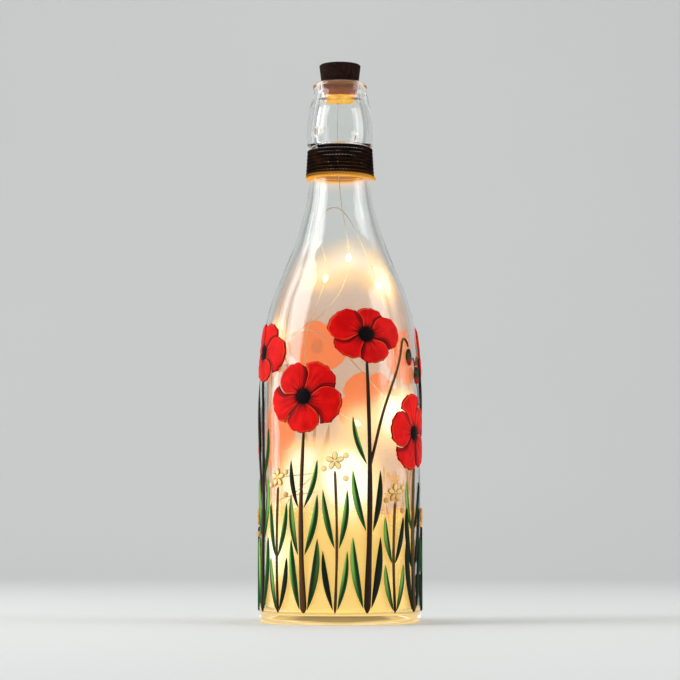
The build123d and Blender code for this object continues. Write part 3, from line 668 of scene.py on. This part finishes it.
def blades(starts, tips, arches, widths, rows=22, columns=9, blunt=0.9):
    """Strokes of a brush, one a piece: the middle line is start + (tip - start) u + across 4 arch u (1 - u), and
    the half width is w / 2 (4 u (1 - u))^blunt. Rows run along u and columns from side to side."""
    starts, tips = np.asarray(starts, float), np.asarray(tips, float)
    way = tips - starts
    across = np.stack([way[:, 1], -way[:, 0]], 1) / np.linalg.norm(way, axis=1, keepdims=True)
    u = spread(rows)[None, :, None]
    v = np.sin(pi / 2 * np.linspace(-1, 1, columns))[None, None, :]
    half = np.asarray(widths, float)[:, None, None] / 2 * (4 * u * (1 - u)) ** blunt
    off = np.asarray(arches, float)[:, None, None] * 4 * u * (1 - u) + v * half
    x = starts[:, 0, None, None] + way[:, 0, None, None] * u + across[:, 0, None, None] * off
    z = starts[:, 1, None, None] + way[:, 1, None, None] * u + across[:, 1, None, None] * off
    edge = (1 - abs(v)) * half
    crown = np.sqrt(np.clip(1 - v**2, 0, 1)) * np.clip(4 * u * (1 - u) * 3, 0, 1) ** 0.5
    return x, z, crown, edge, u + 0 * v, v / 2 + 0.5 + 0 * u


count, flower_radius = 8, 20.0
flower_azimuth = -26.0 + 45.0 * np.arange(count)
kind = np.arange(count) % 4
flower_height = np.array([117.0, 150.0, 97.0, 142.0])[kind]
flat = np.array([1.0, 0.76, 1.0, 0.84])[kind]
heart_height = flower_height + np.array([-0.06, -0.12, 0.05, -0.1])[kind] * flower_radius
lean = np.where(kind % 2 == 1, 1.0, -1.0)
chance = np.random.default_rng(5)
print("flowers at", flower_azimuth.tolist(), "hearts", heart_height.tolist())

# %% [markdown]
# ### Petals and hearts
#
# Five petals make a poppy. A petal is a slice of the flower with curved seams, a ruffled rim and shallow
# pleats that run from the heart. Its red deepens towards the heart in streaks and its border catches an
# orange line. The side on the glass is painted bright orange as the lamps' light seen through it from
# inside the bottle, and the front is given a faint painted glow that grows near the lamps.

# %% Petals
petal_red = Finish("petal_paint", roughness=0.5, specular_ior_level=0.08, emission_strength=1.0)
leaf = petal_red.node("ShaderNodeUVMap", {"uv_map": "UVMap"})
across_petal = petal_red.axis(leaf, 0)
out_from_heart = petal_red.axis(leaf, 1)
streak = petal_red.noise(petal_red.stretched(leaf, (26.0, 1.6, 1.0)), 1.0, 3.0)
wash = petal_red.noise(petal_red.place(), 0.006)
rim = petal_red.fact("edge")
red = petal_red.mix(wash.rise(0.3, 0.7), rgb(212, 3, 7), rgb(240, 16, 12))
under = (streak * 0.7 + 0.25 - across_petal * 1.9 - out_from_heart * 0.25).rise(0.1, 0.3)
deep = petal_red.mix((streak - 0.05 - out_from_heart * 0.6).rise(0.2, 0.5).most(under), red, rgb(122, 3, 8))
bright_line = (1 - rim.rise(0.5, 1.2)) * rim.rise(0.12, 0.4) * across_petal.rise(0.3, 0.6)
lined = petal_red.mix(bright_line, deep, rgb(236, 66, 32))
dark = petal_red.mix((streak * 0.6 + 0.08 - out_from_heart * 1.1).rise(0.2, 0.32), lined, rgb(30, 6, 10))
outlined = petal_red.mix((1 - (rim + streak * 0.4).rise(0.25, 0.6)) * 0.92, dark, rgb(26, 2, 8))
# The glass side is painted bright orange and glows orange, the lamps' light seen through the paint; the front gets
# a faint painted red glow, stronger near the lamps.
with_backlit_side = petal_red.mix(petal_red.fact("backing"), outlined, rgb(226, 62, 8))
lamp_light = petal_red.fact("glow").rise(0.05, 1.2)
petal_red.set(
    base_color=with_backlit_side,
    emission_color=petal_red.mix(
        petal_red.fact("backing"),
        petal_red.mix(lamp_light, rgb(40, 0, 0), rgb(150, 16, 6)),
        petal_red.mix(lamp_light, rgb(248, 84, 2), rgb(255, 138, 30)),
    ),
)
petal_red.bump(streak, 0.0002)

u = spread(30)[None, :, None]
v = spread(24)[None, None, :]
number = np.arange(5)[:, None, None]
span = 2 * pi / 5
bow = np.array([0.22, -0.16, 0.26, -0.1, 0.2])
petal_foot = 3.4
for index in range(count):
    first = radians(np.array([14.0, 40.0, 62.0, 25.0])[kind[index]])
    swell = np.array([1.0, 0.93, 1.04, 0.95, 1.02])[(np.arange(5) + kind[index]) % 5][:, None, None]
    seam = first + number * span + bow[:, None, None] * np.sin(pi * v)
    next_seam = first + (number + 1) * span + np.roll(bow, -1)[:, None, None] * np.sin(pi * v)
    theta = seam + (next_seam - seam) * u
    around = first + (number + u) * span
    limit = flower_radius * flat[index] / np.sqrt((flat[index] * np.cos(around)) ** 2 + np.sin(around) ** 2)
    lobe = np.interp(u, [0, 0.2, 0.5, 0.8, 1], [0.82, 0.965, 1.0, 0.965, 0.83])
    ruffle = 1 + 0.012 * np.sin(9 * pi * u + 2.1 * number + index) + 0.008 * np.sin(23 * pi * u + number)
    rim_at = limit * lobe * swell * ruffle * 0.985
    far = petal_foot + (rim_at - petal_foot) * v
    beside = np.minimum(u, 1 - u) * span * far
    inset = -0.1 * (1 - 2 * u)
    x = far * np.cos(theta) - inset * np.sin(theta)
    z = heart_height[index] + far * np.sin(theta) + inset * np.cos(theta)
    edge = np.minimum(beside, (1 - v) * (rim_at - petal_foot))
    bead = np.clip(edge / 1.3, 0, 1)
    pleat = 0.10 * np.sin(7 * pi * u + number) * np.sin(pi * v)
    cup = 0.72 + 0.2 * np.sin(pi * u) * v + pleat
    crown = np.sqrt(1 - (1 - bead) ** 2) * cup * np.clip(v * (rim_at - petal_foot), 0, 1) ** 0.5
    piece = paint(
        f"poppy_petals_{index + 1}", x, z, crown, 1.2, flower_azimuth[index], edge,
        chance.random(5), [f"poppy_{index + 1}"], u, v,
    )
    dress(piece, petal_red)

# %% Hearts
heart_radius = 4.0
start = np.stack([0 * heart_height - heart_radius, heart_height], 1)
tip = np.stack([0 * heart_height + heart_radius, heart_height], 1)
x, z, crown, edge, u, v = blades(start, tip, 0 * heart_height, 0 * heart_height + 2 * heart_radius, 24, 17, 0.5)
above = z - heart_height[:, None, None]
crown = np.sqrt(np.clip(1 - ((x / heart_radius) ** 2 + (above / heart_radius) ** 2), 0, 1)) ** 0.7
ridge = 1 + 0.06 * np.cos(9 * np.arctan2(above, x))
hearts = paint(
    "poppy_hearts_painted", x, z, crown * ridge / 1.06, 1.3, flower_azimuth, edge, chance.random(count),
    ["poppy_hearts"], u, v,
)
heart_black = Finish("heart_paint", roughness=0.6, specular_ior_level=0.08, emission_strength=1.0)
seed = heart_black.noise(heart_black.place(), 0.0007, 3.0)
shown = heart_black.mix(
    seed.rise(0.5, 0.7), heart_black.mix(heart_black.fact("edge").rise(0.2, 1.2), rgb(34, 6, 6), rgb(8, 2, 5)),
    rgb(24, 10, 10),
)
# The glass side is painted orange and glows: the lamps' light seen through the paint.
heart_black.set(
    base_color=heart_black.mix(heart_black.fact("backing"), shown, rgb(190, 40, 4)),
    emission_color=heart_black.mix(heart_black.fact("backing"), (0, 0, 0, 1), rgb(196, 50, 2)),
)
heart_black.bump(seed, 0.0004)
dress(hearts, heart_black)


# %% [markdown]
# ### Stems, leaves and buds
#
# Stems are brush strokes that taper upwards and lean to one side. Leaves are long arched blades in pairs:
# dark green with one light yellow-green side, and some nearly black. Four poppies carry a bud on a hooked
# stem, two to the right and two to the left. The left ones are mirrored, and mirroring leaves the faces
# of those two stems turned inwards.

# %% Green paints
def green_paint(name, dark_tone, green, light, deepest):
    """A leaf or stem paint: dark in the middle, light along one side towards the tip, nearly black on some."""
    finish = Finish(name, roughness=0.45, specular_ior_level=0.15, emission_strength=1.0)
    brush = finish.noise(finish.place(), 0.003, 3.0)
    stroke = finish.node("ShaderNodeUVMap", {"uv_map": "UVMap"})
    streaks = finish.noise(finish.stretched(stroke, (2.0, 9.0, 1.0)), 1.0, 3.0)
    edge, tone = finish.fact("edge"), finish.fact("shade")
    turned_side = (finish.axis(stroke, 1) - 0.5) * (tone.rise(0.44, 0.46) * 2 - 1)
    light_side = (turned_side + streaks * 0.3 - 0.15).rise(-0.1, 0.35) * finish.axis(stroke, 0).rise(0.05, 0.7)
    middle = finish.mix((edge + brush * 0.8).rise(0.3, 1.2), green, dark_tone)
    lighter = finish.mix(light_side * (1 - tone.rise(0.66, 0.72)), middle, light)
    worn = finish.mix(tone.rise(0.66, 0.72) * 0.85, lighter, deepest)
    # The glass side glows light green near the lamps: painted lamp light.
    finish.set(
        base_color=worn,
        emission_color=finish.mix(finish.fact("glow").rise(0.1, 1.4) * finish.fact("backing"), (0, 0, 0, 1), light),
    )
    finish.bump(brush, 0.0003)
    return finish


leaf_green = green_paint("leaf_paint", rgb(6, 52, 24), rgb(26, 100, 38), rgb(140, 204, 88), rgb(6, 18, 8))
stem_olive = green_paint("stem_paint", rgb(84, 54, 26), rgb(24, 16, 8), rgb(112, 88, 42), rgb(34, 22, 12))


# %% Stems
def strips(foot, top, foot_width, top_width, bend, rows=40, columns=9):
    """Upright strokes: the middle leans by bend sin(pi u), and the width goes evenly from foot to top."""
    u = spread(rows)[None, :, None]
    v = np.sin(pi / 2 * np.linspace(-1, 1, columns))[None, None, :]
    wide = [np.asarray(value, float).reshape(-1, 1, 1) for value in (foot, top, bend)]
    half = (foot_width + (top_width - foot_width) * u) / 2 * np.clip(40 * u * (1 - u), 0, 1) ** 0.5
    half = half * (1 + 0.08 * np.sin(17 * u))
    x = wide[2] * np.sin(pi * u) + v * half
    z = wide[0] + (wide[1] - wide[0]) * u
    crown = np.sqrt(np.clip(1 - v**2, 0, 1)) * np.clip(60 * u * (1 - u), 0, 1) ** 0.5
    return x, z, crown, (1 - abs(v)) * half, u + 0 * v, v / 2 + 0.5 + 0 * u


stem_foot, stem_foot_width, stem_top_width, stem_bend, sprig_bend = 6, 3.6, 1.5, 1.6, -1.0
seam_gap, behind_petals = 0.4, 4
stem_top = heart_height - flower_radius * flat * 1.04 - seam_gap
x, z, crown, edge, u, v = strips(
    stem_foot + 0 * stem_top, stem_top + behind_petals, stem_foot_width, stem_top_width, stem_bend * lean
)
stems = paint(
    "poppy_stems_painted", x, z, crown, 1.0, flower_azimuth, edge, chance.random(count),
    ["poppy_stems"], u, v,
)
dress(stems, stem_olive)

sprig_azimuth = flower_azimuth + 22.5
sprig_top = np.array([78.0, 62.0, 50.0, 70.0])[kind]
x, z, crown, edge, u, v = strips(stem_foot + 0 * sprig_top, sprig_top, 1.4, 1.4, sprig_bend * lean)
sprigs = paint(
    "sprig_stems_painted", x, z, crown, 1.0, sprig_azimuth, edge, chance.random(count),
    ["sprig_stems"], u, v,
)
dress(sprigs, stem_olive)

# %% Leaves
bud_side = np.array([0, 1, 0, -1])[kind]
leaf_shares, leaf_rise, leaf_reach, leaf_arch, leaf_width = (0.02, 0.33, 0.60), 36.0, 7.4, 1.4, 4.0
starts, tips, arches, widths, places = [], [], [], [], []
for index in range(count):
    length = stem_top[index] - stem_foot
    for share, scale in zip(leaf_shares, (1.0, 0.86, 0.68)):
        foot = stem_foot + length * share
        high = foot + min(leaf_rise * scale, length * (1 - share) - seam_gap)
        half = (stem_foot_width + (stem_top_width - stem_foot_width) * share) / 2
        middle = stem_bend * lean[index] * np.sin(pi * share)
        for side in (-1, 1):
            if share == leaf_shares[-1] and side == bud_side[index]:
                continue
            starts.append((middle + side * (half + seam_gap), foot))
            tips.append((side * leaf_reach, high))
            arches.append(side * leaf_arch)
            widths.append(leaf_width * scale)
            places.append(flower_azimuth[index])
x, z, crown, edge, u, v = blades(starts, tips, arches, widths, 26, 11)
crown = crown * (1 - 0.22 * bell(v, 0.5, 0.07))
leaves = paint(
    "poppy_leaves_painted", x, z, crown, 0.9, places, edge, chance.random(len(places)),
    ["poppy_leaves"], u, v,
)
dress(leaves, leaf_green)

starts, tips, arches, widths, places = [], [], [], [], []
for index in range(count):
    length = sprig_top[index] - stem_foot
    for share in (0.02, 0.45):
        foot = stem_foot + length * share
        middle = sprig_bend * lean[index] * np.sin(pi * share)
        for side in (-1, 1):
            starts.append((middle + side * 1.1, foot))
            tips.append((side * 6.2, foot + length * 0.42))
            arches.append(side * 1.1)
            widths.append(3.1)
            places.append(sprig_azimuth[index])
x, z, crown, edge, u, v = blades(starts, tips, arches, widths, 22, 9)
crown = crown * (1 - 0.2 * bell(v, 0.5, 0.07))
blades_low = paint(
    "sprig_leaves_painted", x, z, crown, 0.9, places, edge, chance.random(len(places)),
    ["sprig_leaves"], u, v,
)
dress(blades_low, leaf_green)

# %% Buds on hooked stems
budding = np.flatnonzero(bud_side)
drop = np.where(bud_side[budding] < 0, 9.0, 0.0)
hook_length, bud_height, bud_reach = 82.0, 142.0, 14.0
knots = np.array([0, 12.0, 34.0, 53.0, 69.0, 76.5, hook_length])
u = spread(44)
hook_x = smooth(knots, [-13.6, -11.0, -5.5, 1.5, 7.3, 10.6, bud_reach], 0.1, 0.3, u * hook_length)
hook_z = smooth(knots, [76.0, 88.0, 108.0, 125.0, 140.0, 146.6, bud_height], 1.0, -1.3, u * hook_length)
way = np.stack([np.gradient(hook_x, u), np.gradient(hook_z, u)], 1)
way /= np.linalg.norm(way, axis=1, keepdims=True)
v = np.sin(pi / 2 * np.linspace(-1, 1, 9))[None, :]
half = 0.6 * (1.25 - 0.4 * u[:, None]) * np.clip(60 * u * (1 - u), 0, 1)[:, None] ** 0.5
x = (hook_x[:, None] + way[:, 1, None] * v * half)[None] * bud_side[budding][:, None, None]
z = (hook_z[:, None] - way[:, 0, None] * v * half)[None] - drop[:, None, None]
crown = np.sqrt(np.clip(1 - v**2, 0, 1)) * np.clip(60 * u * (1 - u), 0, 1)[:, None] ** 0.5
bud_azimuth = flower_azimuth[budding] + bud_side[budding] * 20.0
hooks = paint(
    "bud_stems_painted", x, z, crown, 1.0, bud_azimuth, (1 - abs(v)) * half, chance.random(4) * 0.5,
    ["bud_stems"], u[:, None], v / 2 + 0.5,
)
dress(hooks, stem_olive)

bud_x = bud_reach * bud_side[budding]
bud_top = bud_height - seam_gap - drop
start = np.stack([bud_x, bud_top - 9.0], 1)
tip = np.stack([bud_x, bud_top], 1)
x, z, crown, edge, u, v = blades(start, tip, 0 * bud_x, 0 * bud_x + 5.2, 26, 15, 0.62)
crown = crown * (0.92 + 0.08 * np.cos(3 * 2 * pi * v))
buds = paint(
    "poppy_buds_painted", x, z, crown, 1.5, bud_azimuth, edge, chance.random(4), ["poppy_buds"], u, v
)
bud_skin = Finish("bud_paint", roughness=0.45, specular_ior_level=0.12)
length_way = bud_skin.axis(bud_skin.node("ShaderNodeUVMap", {"uv_map": "UVMap"}), 0)
brush = bud_skin.noise(bud_skin.place(), 0.0015, 3.0)
bud_skin.set(
    base_color=bud_skin.mix(
        (length_way + brush * 0.3).rise(0.35, 0.6),
        rgb(170, 24, 22),
        bud_skin.mix(brush.rise(0.4, 0.6), rgb(30, 34, 18), rgb(62, 70, 34)),
    )
)
bud_skin.bump(brush, 0.0004)
dress(buds, bud_skin)

# %% [markdown]
# ### Blossoms and dots
#
# Each sprig ends in a small cream flower of five round-ended petals, with ochre dots about it. A blossom's
# petal is one short stroke, outlined in ochre by its border value, and a dot is a dome with a pale top.

# %% Blossoms and dots
angles = np.arange(5) * 2 * pi / 5
bloom = sprig_top + seam_gap + 4.4
ways = np.stack([np.sin(angles), np.cos(angles)], 1)
middles = np.stack([0 * bloom, bloom], 1)
starts = (middles[:, None] + ways[None] * 0.7).reshape(-1, 2)
tips = (middles[:, None] + ways[None] * 4.8).reshape(-1, 2)
x, z, crown, edge, u, v = blades(starts, tips, np.zeros(40), np.full(40, 2.9), 16, 9, 0.5)
blossoms = paint(
    "blossoms_painted", x, z, crown, 1.1, np.repeat(sprig_azimuth, 5), edge, chance.random(40),
    ["blossoms"], u, v,
)
dot_across = np.array([-5.6, 5.5, 5.6, 0.0])
dot_rises = np.array([1.0, -4.0, 7.5, 0.0])
dot_sizes = np.array([1.5, 1.5, 1.5, 0.9])
dot_z = sprig_top[:, None] + dot_rises[None]
dot_z[:, 3] = bloom
dot_x = np.broadcast_to(dot_across, (count, 4)).ravel()
dot_z = dot_z.ravel()
sizes = np.broadcast_to(dot_sizes, (count, 4)).ravel()
start = np.stack([dot_x - sizes, dot_z], 1)
tip = np.stack([dot_x + sizes, dot_z], 1)
x, z, crown, edge, u, v = blades(start, tip, 0 * dot_x, 2 * sizes, 13, 9, 0.5)
crown = np.sqrt(np.clip(1 - ((x - dot_x[:, None, None]) ** 2 + (z - dot_z[:, None, None]) ** 2)
                / sizes[:, None, None] ** 2, 0, 1))
dots = paint(
    "dots_painted", x, z, crown, 1.4, np.repeat(sprig_azimuth, 4), crown, chance.random(32),
    ["paint_dots"], u, v,
)


def pale_paint(name, border, middle, start, end):
    """A pale paint that goes from its border's colour to its middle's, and is ochre on the dense frost."""
    finish = Finish(name, roughness=0.4, specular_ior_level=0.4, emission_strength=0.2)
    brush = finish.noise(finish.place(), 0.0012, 3.0)
    high = (finish.axis(finish.place(), 2) * 1000).rise(60, 76)
    full = finish.mix(high, finish.mix(brush, rgb(190, 136, 62), rgb(216, 170, 96)), middle)
    colour = finish.mix((finish.fact("edge") + brush * 0.2).rise(start, end), border, full)
    # Its emission, at a fifth of full strength, is a painted glow in its own colour.
    finish.set(base_color=colour, emission_color=colour)
    finish.bump(brush, 0.0002)
    return finish


dress(blossoms, pale_paint("cream_paint", rgb(176, 122, 44), rgb(250, 226, 150), 0.28, 0.7))
dress(dots, pale_paint("ochre_paint", rgb(202, 152, 62), rgb(246, 224, 156), 0.25, 0.9))

# %% [markdown]
# ## Cork and battery housing
#
# The cork is nearly black on top and turns orange-brown inside the glass, where the lamps light it from
# below; that orange-brown and a bright glow at its foot are painted lamp light, in its colour and emission.
# Its solid has the right shape, so it keeps it and gets a finish: grains of cork from Voronoi cells, with
# small dark pits. The parts in its pocket get moulded plastic, plated steel and brass.


# %% Finishes of the cork and its parts
def cells_of(finish, size, feature="F1"):
    """Voronoi cells of about that size, in metres, as distance from their middles."""
    sockets = {"Vector": finish.place(), "Scale": 1 / size}
    return finish.node("ShaderNodeTexVoronoi", {"feature": feature}, sockets)


cork = Finish("stained_cork", roughness=0.9, specular_ior_level=0.1, emission_strength=1.0)
granule = cork.node("ShaderNodeTexVoronoi", sockets={"Vector": cork.place(), "Scale": 700.0}, output="Color")
grain_tone = cork.axis(granule, 0)
pit = cork.noise(cork.place(), 0.0012, 3.0)
up = cork.axis(cork.place(), 2) * 1000
# Painted lamp light: below the lip the cork's colour is a lit orange-brown, above it near-black.
above_lip = up.rise(279, 285)
low = cork.mix(grain_tone, rgb(122, 54, 22), rgb(84, 34, 16))
high = cork.mix(grain_tone, rgb(48, 28, 22), rgb(28, 15, 13))
body = cork.mix(above_lip, low, high)
# The emission is painted lamp light too: bright yellow on the foot that faces the lamps, orange-brown up to the
# lip.
cork.set(
    base_color=cork.mix(pit.rise(0.62, 0.7), body, rgb(14, 8, 7)),
    emission_color=cork.mix(
        1 - up.rise(276.2, 276.7),
        cork.mix(1 - up.rise(276, 283), (0, 0, 0, 1), rgb(130, 60, 20)),
        cork.mix(grain_tone, rgb(250, 200, 70), rgb(225, 160, 48)),
    ),
)
cork.bump(pit + cells_of(cork, 0.0014) * 0.6, 0.0004)


def moulded(name, dark_tone, light_tone, roughness):
    """Moulded plastic: two near tones and a fine grain."""
    finish = Finish(name, roughness=roughness)
    cloud = finish.noise(finish.place(), 0.004)
    fine = finish.noise(finish.place(), 0.0003, 3.0)
    finish.set(base_color=finish.mix(cloud, dark_tone, light_tone))
    finish.bump(fine, 0.00004)
    return finish


def plated(name, dark_tone, light_tone, stretch):
    """Plated metal, brushed one way: noise stretched along one axis varies its tone and roughness."""
    finish = Finish(name, metallic=1.0)
    brushed = finish.noise(finish.stretched(finish.place(), stretch), 0.0006, 3.0)
    finish.set(base_color=finish.mix(brushed, dark_tone, light_tone), roughness=brushed * 0.25 + 0.18)
    finish.bump(brushed, 0.00003)
    return finish


steel = plated("plated_steel", rgb(176, 178, 180), rgb(222, 223, 222), (1.0, 12.0, 12.0))
brass = plated("bare_brass", rgb(196, 152, 78), rgb(232, 196, 120), (12.0, 1.0, 12.0))
can = plated("cell_can", rgb(186, 187, 186), rgb(228, 228, 225), (1.0, 12.0, 60.0))
board = Finish("circuit_board", roughness=0.35, coat_weight=0.3)
track = cells_of(board, 0.002, "DISTANCE_TO_EDGE").rise(0.03, 0.08)
board.set(base_color=board.mix(track, rgb(70, 150, 84), rgb(22, 96, 44)))
chip_body = Finish("chip_ceramic", roughness=0.5)
cap_end = chip_body.axis(chip_body.place(), 0)
ends = (cap_end * cap_end * 1e6).rise(1.25, 1.45)
chip_body.set(
    base_color=chip_body.mix(ends, rgb(26, 26, 28), rgb(205, 205, 205)), metallic=ends * 0.9
)
finishes = {
    "cork_stopper": cork,
    "battery_cup": moulded("cup_plastic", rgb(24, 24, 25), rgb(36, 36, 37), 0.5),
    "circuit_board": board,
    "resistor": chip_body,
    "contact_spring": steel,
    "side_strip": brass,
    "contact_plate": brass,
    "battery_lid": moulded("lid_plastic", rgb(26, 22, 20), rgb(40, 34, 31), 0.45),
    "switch_body": steel,
    "switch_knob": moulded("knob_plastic", rgb(12, 12, 13), rgb(24, 24, 25), 0.35),
    "lead_in_wire": plated("lead_wire", rgb(184, 146, 84), rgb(222, 190, 128), (6.0, 6.0, 1.0)),
    "button_cell_1": can,
    "button_cell_2": can,
    "button_cell_3": can,
}
for name, finish in finishes.items():
    dress(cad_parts[name], finish)
print("finishes on solids:", len(finishes))

# %% [markdown]
# ## Floor, backdrop and light
#
# The bottle stands on a plain pale floor that sweeps up into a backdrop. Two large soft lamps and a pale
# world light it evenly, and a narrow lamp on each side draws the bright lines down the glass.

# %% The stage
flat_end, bend = 1.2, 0.8
run = np.concatenate(
    [
        np.stack([np.linspace(-2.4, flat_end, 24), np.zeros(24)], 1),
        [[flat_end + bend * np.sin(a), bend - bend * np.cos(a)] for a in np.linspace(0.1, pi / 2, 16)],
        [[2.0, 1.6], [2.0, 3.0]],
    ]
)
wide = np.linspace(-3, 3, 12)
sweep = np.stack(np.broadcast_arrays(wide[None, :], run[:, 0, None], run[:, 1, None]), -1)[None] / mm
floor = surface("floor_sweep", sweep)
floor.data.flip_normals()
pale = Finish("pale_floor", roughness=0.7)
cloud = pale.noise(pale.place(), 0.6)
pale.set(base_color=pale.mix(cloud, rgb(226, 228, 226), rgb(233, 234, 232)))
dress(floor, pale)


def lamp(name, place, aim, width, height, power):
    """A soft rectangular lamp that points from its place at its aim."""
    data = bpy.data.lights.new(name, "AREA")
    data.shape, data.size, data.size_y, data.energy = "RECTANGLE", width, height, power
    made = bpy.data.objects.new(name, data)
    made.location = place
    way = np.array(aim) - np.array(place)
    flat_way = np.hypot(way[0], way[1])
    made.rotation_euler = (pi / 2 + np.arctan2(way[2], flat_way), 0, np.arctan2(-way[0], way[1]))
    scene.collection.objects.link(made)


lamp("key", (-1.6, -0.45, 1.0), (0, 0, 0.15), 1.0, 1.3, 18)
lamp("fill", (1.7, -0.5, 0.8), (0, 0, 0.15), 0.9, 1.2, 9)
lamp("top", (0, 0.1, 1.6), (0, 0.001, 0.1), 1.2, 1.2, 6)
lamp("left_strip", (-0.9, 0.25, 0.35), (0, 0, 0.15), 0.25, 0.9, 1.8)
lamp("right_strip", (0.95, 0.2, 0.35), (0, 0, 0.15), 0.25, 0.9, 0.7)
world = bpy.data.worlds.new("soft_world")
scene.world = world
world.use_nodes = True
world.node_tree.nodes["Background"].inputs[0].default_value = (0.92, 0.95, 0.96, 1)
world.node_tree.nodes["Background"].inputs[1].default_value = 0.45
